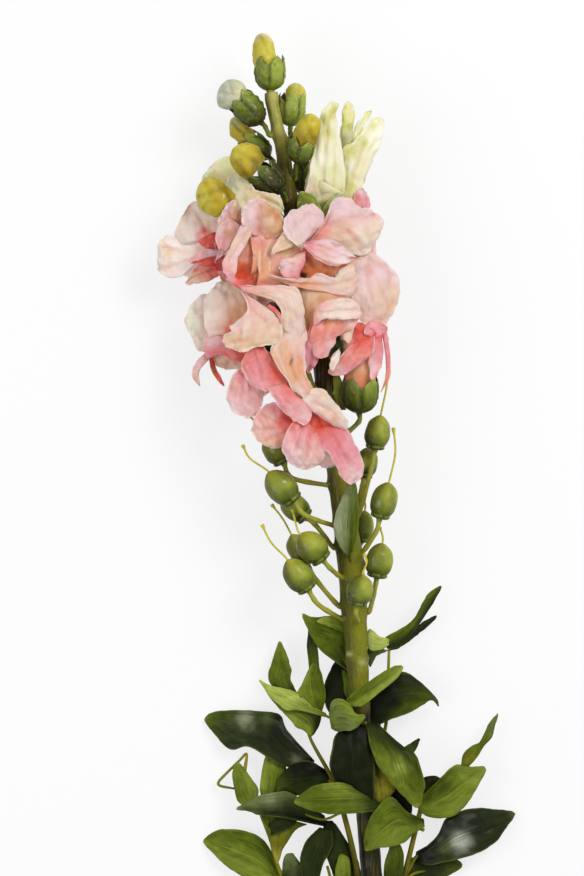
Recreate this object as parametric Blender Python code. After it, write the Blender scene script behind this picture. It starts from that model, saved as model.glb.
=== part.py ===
"""A cut snapdragon stem lying on a table, its flower head to +Y and its open side up.

Places are in millimetres on the lying stem: x across it, y along it, z above the table.
"""

import math

import bpy
import numpy as np

MM = 0.001
GAP = 0.3  # clearance between pieces that touch

# Main stem: x, y, z of its middle and its radius, from the cut end to the top bud
STEM_ROUTE = (
    (25.0, -222.0, 4.6, 4.6), (23.0, -198.0, 6.5, 4.4), (20.8, -172.0, 8.6, 4.3),
    (18.0, -136.0, 12.0, 4.3), (16.0, -104.0, 15.5, 4.3), (14.8, -84.0, 18.0, 4.6),
    (12.8, -56.0, 21.0, 5.2), (10.0, -32.0, 24.0, 4.8), (6.0, -4.0, 27.0, 4.3),
    (2.0, 24.0, 29.0, 3.9), (-4.0, 58.0, 30.0, 3.7), (-9.5, 84.0, 30.5, 3.5),
    (-12.6, 98.0, 31.0, 3.2), (-15.0, 116.0, 31.0, 2.7), (-18.6, 131.0, 31.0, 2.5),
    (-19.6, 138.6, 31.0, 2.6),
)
STEM_SIDES = 12
STEM_RINGS = 30

PEDICEL_RADIUS = 1.1
PEDICEL_RINGS = 5
TUBE_SIDES = 8

# Calyx: distance along the floret from the pedicel's end, and radius
CALYX_OUTSIDE = ((0.0, 1.3), (0.9, 2.6), (2.8, 3.7), (4.6, 4.0))
CALYX_INSIDE = ((4.4, 3.4), (2.9, 2.9), (1.7, 1.6))
CALYX_SIDES = 10
SEPAL_LENGTH = 3.4
SEPAL_SPREAD = 0.8  # how much further out the tips stand
COROLLA_START = 2.3  # the corolla's base, measured the same way
COROLLA_RADII = ((0.0, 1.2), (0.4, 2.8))  # share of the tube, radius

THROAT_RADIUS = 4.6  # most of the way up the tube

PETAL_THICKNESS = 0.7
LOBE_COLUMNS = 4
LOBE_ROWS = 4
LOBE_FLARE = 0.6  # outward share of a lobe's first direction

LEAF_THICKNESS = 0.6
LEAF_ROWS = 7
LEAF_COLUMNS = 4
SHOOT_LEAF_COLUMNS = 2

BUD_FOOT_RADIUS = 2.2  # where the top bud sits on the stem's end
BUD_PROFILE = (  # share of the length, then the shares of the calyx and petal radii
    (0.0, 1.1, 0.0), (0.05, 0.62, 0.0), (0.18, 0.95, 0.0), (0.34, 1.0, 0.0), (0.48, 0.9, 0.0),
    (0.52, 0.0, 0.82), (0.68, 0.0, 1.0), (0.84, 0.0, 0.9), (0.95, 0.0, 0.55), (1.0, 0.0, 0.2),
)
CAPSULE_PROFILE = (  # share of the length, share of the radius
    (0.0, 0.35), (0.08, 0.72), (0.28, 0.96), (0.52, 1.0), (0.76, 0.86), (0.92, 0.55), (1.0, 0.22),
)
STYLE_RADIUS = 0.5
STYLE_RINGS = 5

# Buds: place on the stem (y, turn about it), the bud's base, its tip, calyx and petal radii
BUDS = {
    "bud_top": (138.0, None, (-19.8, 138.8, 31.0), (-22.6, 162.0, 31.0), 6.1, 4.8),
    "bud_upper_left": (122.5, 165, (-24.4, 127.2, 32.0), (-40.0, 140.0, 33.0), 6.0, 6.0),
    "bud_upper_right": (119.5, 355, (-11.4, 125.4, 28.0), (-7.6, 142.4, 27.0), 4.6, 4.8),
    "bud_left": (110.0, 205, (-21.4, 114.4, 24.6), (-36.0, 127.0, 21.6), 4.8, 4.8),
    "bud_right": (104.0, 35, (-8.6, 112.0, 38.4), (-3.8, 129.4, 45.0), 5.0, 5.2),
    "bud_front": (96.0, 110, (-16.2, 99.6, 38.5), (-35.8, 115.0, 41.0), 6.0, 6.6),
    "bud_lower_left": (86.0, 150, (-20.0, 91.5, 36.5), (-49.6, 97.5, 40.0), 6.0, 8.6),
    "bud_behind": (96.0, 330, (-6.0, 98.5, 25.0), (-1.0, 113.5, 24.0), 4.4, 4.2),
}

# Florets: place on the stem, the calyx's base, the mouth's middle and radius,
# and each lobe as (middle, tip, half width, the way its face looks or None)
UP = (0.0, 0.0, 1.0)
FLORETS = {
    "upper_left": dict(
        foot=(62.0, 178), base=(-18.0, 66.5, 27.0), mouth=(-40.5, 71.5, 27.0), radius=6.0,
        lobes=(
            ((-48.0, 85.0, 30.0), (-48.0, 95.6, 28.0), 9.0, UP),
            ((-57.0, 73.0, 27.0), (-64.4, 72.6, 21.0), 8.0, UP),
            ((-49.0, 63.0, 26.0), (-53.5, 60.6, 22.0), 5.0, None),
            ((-48.0, 66.0, 12.0), (-54.0, 66.0, -3.0), 7.0, None),
            ((-35.6, 86.0, 26.0), (-35.6, 97.0, 25.0), 5.0, UP),
        ),
    ),
    "centre_left": dict(
        foot=(64.0, 140), base=(-14.5, 70.0, 38.0), mouth=(-27.5, 71.5, 45.5), radius=6.4,
        lobes=(
            ((-22.8, 86.0, 49.0), (-25.0, 96.0, 46.5), 9.6, (0.0, 0.5, 0.9)),
            ((-36.0, 75.0, 48.0), (-38.4, 73.0, 44.0), 8.6, None),
            ((-29.6, 63.0, 52.0), (-29.4, 59.8, 50.6), 7.2, None),
            ((-19.6, 71.4, 56.0), (-13.6, 74.0, 55.0), 8.0, None),
        ),
    ),
    "upper_right": dict(
        foot=(62.0, 80), base=(-4.5, 67.5, 38.0), mouth=(3.0, 78.0, 47.0), radius=6.6,
        lobes=(
            ((-5.6, 84.6, 50.0), (-12.0, 90.4, 49.0), 7.4, UP),
            ((13.0, 86.0, 49.0), (22.4, 87.0, 44.0), 10.4, UP),
            ((14.4, 93.4, 41.0), (16.4, 99.4, 39.0), 3.6, UP),
            ((7.0, 70.6, 55.0), (11.6, 68.6, 54.0), 7.0, (0.0, -0.6, 0.8)),
            ((-8.4, 71.6, 53.0), (-12.4, 66.6, 53.0), 5.4, UP),
        ),
    ),
    "right": dict(
        foot=(56.0, 0), base=(3.6, 60.5, 30.0), mouth=(14.0, 63.0, 35.0), radius=6.6,
        lobes=(
            ((21.2, 67.2, 40.0), (31.0, 65.0, 34.0), 8.6, UP),
            ((22.4, 54.6, 39.0), (28.0, 44.6, 33.0), 9.4, UP),
            ((14.6, 53.6, 40.0), (16.6, 46.0, 38.0), 5.6, UP),
            ((19.0, 62.0, 14.0), (24.0, 62.0, -3.0), 7.0, None),
            ((13.6, 72.0, 38.0), (14.0, 78.0, 34.0), 7.0, UP),
        ),
    ),
    "centre": dict(
        foot=(46.0, 120), base=(-8.6, 49.0, 38.5), mouth=(-18.6, 48.6, 47.0), radius=6.4,
        lobes=(
            ((-30.0, 48.4, 49.0), (-38.4, 40.6, 46.0), 11.0, (0.0, 0.4, 0.9)),
            ((-24.6, 39.6, 53.0), (-28.6, 35.0, 52.0), 8.0, UP),
            ((-11.6, 36.4, 52.0), (-11.4, 19.4, 52.0), 6.8, UP),
            ((-11.6, 54.6, 55.0), (-7.0, 58.6, 56.0), 7.4, None),
            ((-19.0, 56.4, 53.0), (-18.4, 61.0, 53.0), 7.0, None),
        ),
    ),
    "lower_left": dict(
        foot=(40.0, 180), base=(-14.0, 43.5, 27.0), mouth=(-34.0, 44.0, 28.0), radius=6.0,
        lobes=(
            ((-47.6, 48.0, 23.0), (-50.0, 57.0, 22.0), 6.4, UP),
            ((-38.6, 53.4, 34.0), (-39.4, 61.0, 33.0), 8.6, UP),
            ((-40.6, 36.6, 31.0), (-45.0, 33.0, 29.0), 6.4, None),
            ((-42.0, 40.0, 12.0), (-48.0, 40.0, -3.0), 7.0, None),
        ),
    ),
    "centre_right": dict(
        foot=(38.0, 75), base=(1.4, 41.0, 36.0), mouth=(2.8, 45.4, 48.0), radius=6.0,
        lobes=(
            ((1.4, 54.6, 51.6), (1.0, 62.0, 48.6), 9.4, UP),
            ((10.0, 49.6, 52.6), (15.2, 46.0, 50.6), 5.4, UP),
            ((3.4, 39.6, 55.0), (3.4, 32.6, 54.0), 6.4, UP),
            ((-4.4, 36.4, 49.0), (-5.2, 19.6, 46.0), 3.6, UP),
        ),
    ),
    "lower_right": dict(
        foot=(2.0, 20), base=(15.6, 11.0, 33.0), mouth=(16.4, 34.0, 38.0), radius=5.8,
        lobes=(
            ((21.4, 42.0, 43.0), (25.6, 46.4, 43.0), 5.4, None),
            ((9.6, 33.4, 46.0), (4.4, 27.4, 47.0), 6.0, UP),
            ((20.6, 34.0, 46.0), (20.0, 26.0, 45.0), 2.8, None),
            ((12.0, 39.6, 40.0), (11.6, 43.6, 43.6), 5.0, None),
            ((20.0, 40.0, 30.0), (24.0, 42.0, 22.0), 5.0, None),
        ),
    ),
    "bottom_left": dict(
        foot=(22.0, 165), base=(-7.6, 27.0, 35.0), mouth=(-21.0, 26.6, 41.0), radius=6.4,
        lobes=(
            ((-30.0, 19.6, 42.0), (-34.6, 13.4, 37.0), 8.6, UP),
            ((-14.6, 14.4, 49.0), (-7.4, 8.0, 53.0), 7.4, UP),
            ((-31.0, 30.0, 38.0), (-36.0, 31.0, 32.0), 6.4, None),
            ((-24.0, 22.0, 24.0), (-28.0, 20.0, 10.0), 6.6, None),
            ((-17.6, 33.4, 44.0), (-15.0, 38.0, 42.0), 7.0, None),
        ),
    ),
    "bottom": dict(
        foot=(4.0, 90), base=(3.2, 6.0, 35.4), mouth=(1.6, 6.4, 48.0), radius=6.2,
        lobes=(
            ((-16.0, 5.4, 44.6), (-24.6, 2.6, 41.0), 8.8, UP),
            ((-6.6, -3.4, 51.0), (-8.0, -10.8, 47.0), 8.2, UP),
            ((8.4, -6.0, 52.0), (13.0, -16.4, 47.0), 5.6, UP),
            ((5.4, 12.4, 55.0), (-1.4, 18.8, 57.0), 7.6, UP),
        ),
    ),
    "half_open_right": dict(
        foot=(84.0, 40), base=(-2.6, 88.6, 35.0), mouth=(8.4, 110.0, 35.0), radius=10.2,
        throat=7.4, sepals=6.4, spread=4.4,
        lobes=(
            ((1.4, 122.0, 35.0), (7.0, 133.4, 38.0), 5.8, (-0.6, 0.0, 0.8)),
            ((9.6, 121.0, 43.0), (12.6, 134.0, 40.0), 4.4, UP),
            ((15.0, 120.0, 42.0), (20.0, 131.0, 38.0), 4.8, UP),
            ((19.6, 118.0, 34.0), (23.6, 128.4, 33.0), 7.0, UP),
            ((9.0, 121.0, 27.0), (12.0, 130.0, 28.0), 7.0, UP),
        ),
    ),
    "half_open_left": dict(
        foot=(80.0, 220), base=(-14.6, 84.6, 21.6), mouth=(-30.0, 98.6, 16.6), radius=7.6,
        throat=5.0, sepals=5.0, spread=2.4,
        lobes=(
            ((-36.0, 107.0, 20.0), (-39.6, 112.6, 21.0), 6.4, UP),
            ((-41.6, 102.6, 18.0), (-49.0, 104.6, 18.0), 6.8, UP),
            ((-38.0, 101.0, 9.0), (-44.0, 106.0, 8.0), 6.0, None),
        ),
    ),
}

# Capsules: place on the stem, base, top, radius, and the style's middle and tip
CAPSULES = {
    "capsule_right_1": ((-30.0, 5), (21.8, -3.4, 31.0), (24.2, 9.8, 32.0), 5.2,
        (26.8, 24.0, 34.0), (26.6, 41.0, 34.0)),
    "capsule_right_2": ((-27.0, 340), (17.6, -15.0, 23.5), (19.8, -3.0, 22.0), 4.6,
        (20.6, 1.0, 22.0), (21.2, 4.0, 21.0)),
    "capsule_left_1": ((-17.0, 165), (-14.6, -9.0, 33.0), (-20.8, 2.0, 33.0), 5.4,
        (-25.0, 6.4, 33.0), (-28.6, 10.0, 33.0)),
    "capsule_left_2": ((-33.0, 150), (-10.6, -24.4, 37.0), (-20.6, -12.8, 38.0), 6.0,
        (-28.0, -7.2, 39.0), (-31.0, -1.6, 40.0)),
    "capsule_left_3": ((-42.0, 180), (-5.4, -31.0, 27.0), (-15.0, -22.6, 26.0), 5.2,
        (-18.6, -20.4, 25.0), (-21.4, -19.0, 24.0)),
    "capsule_right_3": ((-45.0, 30), (23.8, -31.0, 32.0), (27.4, -17.0, 33.0), 5.3,
        (30.0, -5.0, 33.0), (29.2, 5.0, 33.0)),
    "capsule_left_4": ((-66.0, 175), (-5.4, -49.0, 24.6), (-11.4, -38.0, 24.0), 4.8,
        (-15.0, -31.6, 21.0), (-19.4, -26.0, 19.0)),
    "capsule_left_5": ((-54.0, 130), (1.0, -47.6, 35.4), (-7.8, -37.4, 37.4), 6.0,
        (-10.0, -32.0, 36.0), (-11.0, -27.6, 33.4)),
    "capsule_left_6": ((-71.0, 150), (-4.8, -59.6, 34.0), (-13.0, -47.8, 36.0), 5.7,
        (-19.6, -40.6, 37.0), (-23.2, -33.6, 37.0)),
    "capsule_right_4": ((-52.0, 325), (16.6, -41.0, 14.6), (18.2, -28.6, 14.6), 4.4,
        (18.4, -26.0, 14.6), (18.0, -24.0, 15.0)),
    "capsule_right_5": ((-69.0, 15), (22.8, -55.0, 24.5), (25.0, -41.4, 25.0), 5.5,
        (25.0, -38.0, 25.0), (24.0, -35.0, 25.0)),
    "capsule_front": ((-72.0, 80), (14.8, -65.6, 33.5), (17.0, -53.6, 35.0), 5.3,
        (18.6, -48.6, 34.0), (17.6, -45.6, 33.0)),
}

TILTED = (0.0, 0.1, 1.0)
# Leaves: base, middle, tip, half width and the way the face looks
LEAVES = {
    "bract_front": ((11.4, -46.0, 28.4), (9.6, -31.0, 34.0), (12.0, -16.4, 38.6), 4.6, (0.1, 0.0, 1.0)),
    "leaf_upper_left": ((11.6, -93.0, 13.2), (2.6, -81.6, 15.0), (-6.6, -71.0, 18.0), 6.6, (0.35, 0.2, 0.9)),
    "leaf_right_dark": ((23.2, -120.6, 12.6), (34.0, -107.0, 12.4), (47.6, -107.0, 6.0), 8.6, UP),
    "leaf_left_dark": ((4.0, -137.4, 11.0), (-24.0, -118.4, 8.0), (-45.2, -113.6, -1.0), 7.8, TILTED),
    "leaf_drooping": ((19.6, -114.0, 18.6), (32.6, -127.0, 23.0), (39.4, -145.0, 17.6), 8.4, (0.3, 0.1, 0.9)),
    "leaf_base_dark": ((38.8, -169.4, 8.6), (58.0, -158.6, 11.0), (78.4, -152.0, -1.0), 8.8, (0.0, 0.2, 1.0)),
    "leaf_crosswise": ((18.6, -144.6, 16.2), (4.0, -143.0, 25.0), (-9.8, -144.0, 23.0), 5.6, (0.0, 0.2, 1.0)),
    "leaf_front_light": ((38.4, -156.0, 14.6), (27.0, -155.0, 20.6), (18.2, -164.2, 18.0), 9.0, TILTED),
    "leaf_base_left": ((-16.4, -177.4, 6.7), (-32.0, -166.6, 5.6), (-47.0, -163.0, -1.0), 7.8, TILTED),
}

# Side shoots: each route's points with a radius, then the leaves that grow from it
SHOOTS = {
    "branch_left": dict(
        route=((15.2, -186.0, 9.6, 2.0), (14.6, -172.0, 14.6, 1.9), (10.0, -152.0, 16.0, 1.8),
               (5.0, -137.0, 13.6, 1.5), (-4.4, -119.0, 12.0, 1.0), (-3.0, -110.0, 12.0, 0.8)),
        leaves=(
            ((-4.2, -118.0, 12.0), (-10.4, -111.6, 9.0), (-20.8, -102.6, 5.0), 4.6, UP),
            ((0.0, -112.0, 12.6), (-10.4, -106.0, 15.0), (-23.4, -97.4, 13.0), 4.4, UP),
            ((-3.2, -111.0, 12.0), (-3.6, -101.0, 16.0), (-2.6, -91.0, 17.0), 5.0, UP),
            ((-3.4, -114.0, 12.0), (-14.6, -96.0, 9.0), (-16.4, -83.6, 6.0), 4.4, UP),
            ((9.0, -151.0, 15.6), (-16.0, -146.6, 17.0), (-32.4, -148.8, 12.0), 4.0, (0.0, 0.3, 1.0)),
            ((6.0, -138.0, 13.6), (-6.0, -137.0, 15.0), (-14.6, -141.6, 13.0), 5.4, UP),
        ),
    ),
    "branch_right": dict(
        route=((29.4, -192.0, 7.4, 2.0), (34.8, -174.4, 9.0, 1.8), (40.6, -150.0, 13.0, 1.6),
               (43.0, -143.0, 13.0, 1.0)),
        leaves=(
            ((40.6, -149.0, 13.0), (51.0, -143.6, 14.0), (60.0, -129.6, 12.0), 7.4, UP),
            ((41.6, -146.0, 13.0), (62.0, -125.6, 10.0), (71.6, -112.0, 6.0), 2.0, UP),
            ((41.0, -148.0, 12.0), (56.0, -138.6, 7.0), (67.0, -134.0, 3.0), 3.0, UP),
        ),
    ),
    "shoot_lower_left": dict(
        route=((18.4, -207.0, 5.4, 1.9), (2.0, -197.0, 6.4, 1.7), (-14.6, -178.0, 9.0, 1.5),
               (-20.6, -158.0, 11.0, 1.1), (-23.0, -147.0, 11.0, 0.8)),
        leaves=(
            ((-22.4, -150.0, 11.0), (-31.0, -140.0, 9.0), (-33.2, -130.6, 6.0), 4.2, UP),
            ((-22.8, -148.0, 11.0), (-20.0, -138.0, 8.0), (-18.6, -127.0, 5.0), 4.6, UP),
            ((-19.6, -162.0, 10.6), (-14.0, -157.6, 15.0), (-6.4, -151.6, 11.0), 4.2, UP),
            ((-22.6, -150.0, 10.0), (-40.4, -139.6, 5.0), (-31.0, -127.6, 2.0), 1.6, UP),
        ),
    ),
    "shoot_upper_right": dict(
        route=((23.0, -128.0, 11.6, 1.4), (26.8, -116.0, 7.0, 1.2), (27.6, -101.0, 7.8, 1.1),
               (28.0, -83.0, 16.0, 0.9)),
        leaves=(
            ((28.0, -84.0, 16.0), (24.4, -79.6, 18.0), (20.6, -76.4, 17.0), 3.0, UP),
            ((27.8, -86.0, 15.6), (24.0, -87.6, 12.0), (21.2, -89.8, 9.0), 2.6, UP),
            ((28.0, -84.0, 16.0), (39.4, -72.6, 14.0), (48.0, -60.8, 8.0), 3.4, UP),
            ((27.8, -85.0, 16.0), (37.0, -78.8, 10.0), (45.0, -73.0, 4.0), 2.4, UP),
        ),
    ),
    "shoot_centre": dict(
        route=((13.6, -127.0, 18.6, 1.3), (9.6, -121.0, 19.4, 1.2), (9.0, -113.0, 18.0, 0.9)),
        leaves=(
            ((9.0, -116.0, 18.4), (8.8, -108.6, 23.0), (17.4, -110.6, 26.0), 5.0, UP),
            ((9.2, -118.0, 18.8), (6.6, -102.0, 11.0), (7.2, -91.0, 6.0), 4.6, UP),
            ((10.6, -118.6, 19.6), (12.2, -129.0, 20.0), (10.6, -140.6, 14.0), 7.8, UP),
            ((9.4, -114.0, 18.6), (23.0, -101.6, 23.6), (32.0, -92.0, 22.0), 3.4, (0.3, -0.4, 0.9)),
        ),
    ),
    "shoot_base": dict(
        route=((19.8, -213.0, 10.0, 1.8), (13.0, -200.0, 13.0, 1.6), (6.6, -184.0, 14.0, 1.3),
               (3.0, -172.0, 14.0, 0.9)),
        leaves=(
            ((4.0, -176.0, 14.0), (-1.4, -165.0, 15.0), (-3.4, -155.4, 12.0), 5.4, UP),
            ((4.6, -178.0, 14.0), (6.0, -165.0, 12.0), (13.0, -158.0, 8.0), 4.4, UP),
        ),
    ),
}

COLOURS = {  # base colour and roughness
    "stem": ((0.26, 0.27, 0.04), 0.45), "calyx": ((0.15, 0.24, 0.04), 0.5),
    "petal": ((0.80, 0.55, 0.52), 0.5), "cream": ((0.80, 0.76, 0.50), 0.5),
    "bud": ((0.42, 0.36, 0.04), 0.4), "capsule": ((0.16, 0.26, 0.04), 0.45),
    "leaf": ((0.15, 0.24, 0.04), 0.45),
}


def clear_scene():
    for old in list(bpy.data.objects):
        bpy.data.objects.remove(old, do_unlink=True)


def material(node, kind):
    made = bpy.data.materials.new(node)
    made.use_nodes = True
    shader = made.node_tree.nodes["Principled BSDF"]
    colour, roughness = COLOURS[kind]
    shader.inputs["Base Color"].default_value = (*colour, 1.0)
    shader.inputs["Roughness"].default_value = roughness
    shader.inputs["Metallic"].default_value = 0.0
    return made


def add_object(name, points, faces, kind):
    mesh = bpy.data.meshes.new(name)
    mesh.from_pydata((np.asarray(points) * MM).tolist(), [], faces)
    mesh.materials.append(material(name, kind))
    mesh.shade_smooth()
    made = bpy.data.objects.new(name, mesh)
    bpy.context.collection.objects.link(made)
    return made


def unit(vector):
    vector = np.asarray(vector, float)
    return vector / np.maximum(np.linalg.norm(vector, axis=-1, keepdims=True), 1e-9)


def smooth_step(x):
    x = np.clip(x, 0.0, 1.0)
    return x * x * (3.0 - 2.0 * x)


def curve_through(points, count):
    """Catmull-Rom curve through the points, any number of columns, read at count places."""
    points = np.asarray(points, float)
    ends = np.vstack([2 * points[0] - points[1], points, 2 * points[-1] - points[-2]])
    place = np.linspace(0, len(points) - 1, count)
    span = np.minimum(place.astype(int), len(points) - 2)
    t = (place - span)[:, None]
    a, b, c, d = (ends[span + k] for k in range(4))
    bend = (2 * a - 5 * b + 4 * c - d) * t**2 + (3 * b - a - 3 * c + d) * t**3
    return 0.5 * (2 * b + (c - a) * t + bend)


def frames_along(centres):
    """Two directions across the route at each centre, carried along without twisting."""
    tangents = unit(np.gradient(centres, axis=0))
    across = np.cross(tangents[0], (0.31, 0.17, 0.94))
    firsts = []
    for tangent in tangents:
        across = unit(across - np.dot(across, tangent) * tangent)
        firsts.append(across)
    firsts = np.array(firsts)
    return firsts, np.cross(tangents, firsts)


def ring_faces(rings, sides):
    faces = [tuple(reversed(range(sides)))]
    for ring in range(rings - 1):
        for side in range(sides):
            low, high = ring * sides, (ring + 1) * sides
            after = (side + 1) % sides
            faces.append((low + side, low + after, high + after, high + side))
    faces.append(tuple(range((rings - 1) * sides, rings * sides)))
    return faces


def swept_solid(name, centres, radii, kind, sides=TUBE_SIDES):
    firsts, seconds = frames_along(centres)
    turn = np.linspace(0, 2 * math.pi, sides, endpoint=False)
    circle = np.einsum("s,rk->rsk", np.cos(turn), firsts) + np.einsum("s,rk->rsk", np.sin(turn), seconds)
    points = centres[:, None] + circle * np.asarray(radii)[:, None, None]
    return add_object(name, points.reshape(-1, 3), ring_faces(len(centres), sides), kind)


STEM = curve_through(STEM_ROUTE, STEM_RINGS)


def stem_at(y):
    """The stem's middle, the directions to its right and front, and its radius at y."""
    middle = np.array([np.interp(y, STEM[:, 1], STEM[:, k]) for k in range(4)])
    ahead = np.array([np.interp(y + 4, STEM[:, 1], STEM[:, k]) for k in range(3)])
    behind = np.array([np.interp(y - 4, STEM[:, 1], STEM[:, k]) for k in range(3)])
    tangent = unit(ahead - behind)
    right = unit(np.cross(tangent, UP))
    return middle[:3], right, np.cross(right, tangent), middle[3]


def foot_on_stem(y, turn):
    """A pedicel's first two points, leaving the stem squarely. Turn 0 is right and 90 is up."""
    middle, right, front, radius = stem_at(y)
    out = math.cos(math.radians(turn)) * right + math.sin(math.radians(turn)) * front
    foot = middle + out * (radius + GAP + 0.15)
    return foot, foot + out * 2.2


def pedicel_route(foot, base, along):
    """Centres from the stem to the base, arriving in the direction given."""
    start, second = foot_on_stem(*foot)
    span = np.linalg.norm(base - second)
    return curve_through([start, second, base - along * span * 0.35, base], PEDICEL_RINGS)


def add_stem():
    swept_solid("main_stem", STEM[:, :3], STEM[:, 3], "stem", STEM_SIDES)


def add_bud(name, foot_y, turn, base, tip, calyx_radius, petal_radius):
    base, tip = np.array(base), np.array(tip)
    along = unit(tip - base)
    share = np.array([station[0] for station in BUD_PROFILE])[1:]
    radii = [c * calyx_radius + p * petal_radius for _, c, p in BUD_PROFILE[1:]]
    body = base + (tip - base) * share[:, None]
    if turn is None:
        neck, neck_radii = np.array([base + along * GAP]), [BUD_FOOT_RADIUS]
    else:
        neck = pedicel_route((foot_y, turn), base, along)
        neck_radii = [PEDICEL_RADIUS] * len(neck)
    swept_solid(name, np.vstack([neck, body]), neck_radii + radii, "bud")


def calyx_solid(name, foot, base, along, sepals, spread):
    """Pedicel, cup and pointed sepals in one piece, hollow where the corolla sits."""
    neck = pedicel_route(foot, base, along)[:-1]
    firsts, seconds = frames_along(np.vstack([neck, base, base + along]))
    turn = np.linspace(0, 2 * math.pi, CALYX_SIDES, endpoint=False)
    pointed = 0.5 + 0.5 * np.cos(5 * turn)

    def ring(centre, radius, number, reach=0.0):
        radius, reach = (np.broadcast_to(value, turn.shape) for value in (radius, reach))
        across = np.outer(radius * np.cos(turn), firsts[number])
        upward = np.outer(radius * np.sin(turn), seconds[number])
        return centre + across + upward + np.outer(reach, along)

    rings = [ring(centre, PEDICEL_RADIUS, number) for number, centre in enumerate(neck)]
    rings += [ring(base, radius, -1, distance) for distance, radius in CALYX_OUTSIDE]
    rim, wide = CALYX_OUTSIDE[-1]
    rings.append(ring(base, wide + spread * pointed, -1, rim + 0.5 + sepals * pointed))
    rings.append(ring(base, wide - 0.6 + spread * pointed, -1, rim + 0.2 + 0.9 * sepals * pointed))
    rings += [ring(base, radius, -1, distance) for distance, radius in CALYX_INSIDE]
    add_object(name, np.vstack(rings), ring_faces(len(rings), CALYX_SIDES), "calyx")


def bezier(start, lead, middle, tip, share):
    """Cubic curve from start towards lead that is at middle halfway and ends at tip."""
    follow = (8 * middle - start - 3 * lead - tip) / 3
    t = share[..., None]
    place = (1 - t) ** 3 * start + 3 * (1 - t) ** 2 * t * lead + 3 * (1 - t) * t**2 * follow + t**3 * tip
    heading = (1 - t) ** 2 * (lead - start) + 2 * (1 - t) * t * (follow - lead) + t**2 * (tip - follow)
    return place, unit(heading)


def lobe_grid(rim, along, centre, lobe):
    """A corolla lobe from its stretch of the rim: rows of points, the first row being the rim."""
    middle, tip, half_width, face = lobe
    middle, tip = np.array(middle), np.array(tip)
    start = rim.mean(axis=0)
    chord = unit(rim[-1] - rim[0])
    outward = unit(start - centre)
    lead = start + unit(along + LOBE_FLARE * outward) * np.linalg.norm(middle - start) * 0.5
    u = np.linspace(-1, 1, LOBE_COLUMNS + 1)[None, :]
    t = np.linspace(0, 1, LOBE_ROWS + 1)[:, None]
    share = t * (1 - 0.4 * np.abs(u) ** 2.5 * t**2)
    spine, heading = bezier(start, lead, middle, tip, share)
    side = np.broadcast_to(chord, spine.shape)
    if face is not None:
        wanted = unit(np.cross(face, tip - start))
        wanted = wanted * np.sign(np.dot(wanted, chord) or 1.0)
        side = chord + (wanted - chord) * smooth_step(share * 2.5)[..., None]
    side = unit(side - np.sum(side * heading, axis=-1, keepdims=True) * heading)
    rim_half = np.linalg.norm(rim[-1] - rim[0]) / 2
    width = rim_half + (half_width - rim_half) * smooth_step(t * 1.8)
    width = width * (1 - 0.2 * smooth_step((t - 0.7) / 0.3))
    blade = spine + side * (u * width)[..., None]
    collar = rim[None] + spine - start
    return collar + (blade - collar) * smooth_step(t * 2.6)[..., None]


def lobe_spans(lobes, centre, first, second):
    """The lobes in order round the mouth, each with the angles its root takes."""
    directions = np.array([np.array(lobe[0]) - centre for lobe in lobes])
    angles = np.arctan2(directions @ second, directions @ first) % (2 * math.pi)
    order = np.argsort(angles)
    count = len(lobes)
    even = 2 * math.pi / count
    offset = np.angle(np.exp(1j * (angles[order] - even * np.arange(count))).mean())
    return [(lobes[k], offset + even * (place - 0.5), offset + even * (place + 0.5))
            for place, k in enumerate(order)]


def corolla_solid(name, spec, base, mouth, along, kind):
    """Tube closed at its base and open at its mouth, with its lobes, as one thin shell."""
    first = unit(np.cross(along, (0.2, 0.9, 0.37)))
    second = np.cross(along, first)
    spans = lobe_spans(spec["lobes"], mouth, first, second)
    angles = np.concatenate([
        np.linspace(low, high, LOBE_COLUMNS, endpoint=False) for _, low, high in spans])
    around = len(angles)
    circle = np.outer(np.cos(angles), first) + np.outer(np.sin(angles), second)
    start = base + along * COROLLA_START
    radii = list(COROLLA_RADII) + [(0.78, spec.get("throat", THROAT_RADIUS)), (1.0, spec["radius"])]
    points = np.vstack([start + (mouth - start) * share + circle * radius for share, radius in radii])
    faces = ring_faces(len(radii), around)[:-1]
    rim_first = len(points) - around
    total = len(points)
    blocks = [points]
    for place, (lobe, _, _) in enumerate(spans):
        wanted = [rim_first + (place * LOBE_COLUMNS + k) % around for k in range(LOBE_COLUMNS + 1)]
        grid = lobe_grid(points[wanted], along, mouth, lobe)
        index = np.arange(total, total + LOBE_ROWS * (LOBE_COLUMNS + 1)).reshape(LOBE_ROWS, -1)
        index = np.vstack([wanted, index])
        blocks.append(grid[1:].reshape(-1, 3))
        total += LOBE_ROWS * (LOBE_COLUMNS + 1)
        for row in range(LOBE_ROWS):
            for k in range(LOBE_COLUMNS):
                faces.append(tuple(int(i) for i in (
                    index[row, k], index[row, k + 1], index[row + 1, k + 1], index[row + 1, k])))
    made = add_object(name, laid_down(np.vstack(blocks), PETAL_THICKNESS), faces, kind)
    thicken(made, PETAL_THICKNESS)


def laid_down(points, thickness):
    """Points that would sink into the table lie flat on it instead."""
    points = np.array(points)
    points[..., 2] = np.maximum(points[..., 2], thickness / 2)
    return points


def thicken(made, thickness):
    shell = made.modifiers.new("wall", "SOLIDIFY")
    shell.thickness = thickness * MM
    shell.offset = 0.0


def add_floret(name, spec):
    kind = "cream" if name.startswith("half_open") else "petal"
    base, mouth = np.array(spec["base"]), np.array(spec["mouth"])
    along = unit(mouth - base)
    sepals, spread = spec.get("sepals", SEPAL_LENGTH), spec.get("spread", SEPAL_SPREAD)
    calyx_solid(f"calyx_{name}", spec["foot"], base, along, sepals, spread)
    corolla_solid(f"corolla_{name}", spec, base, mouth, along, kind)


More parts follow.
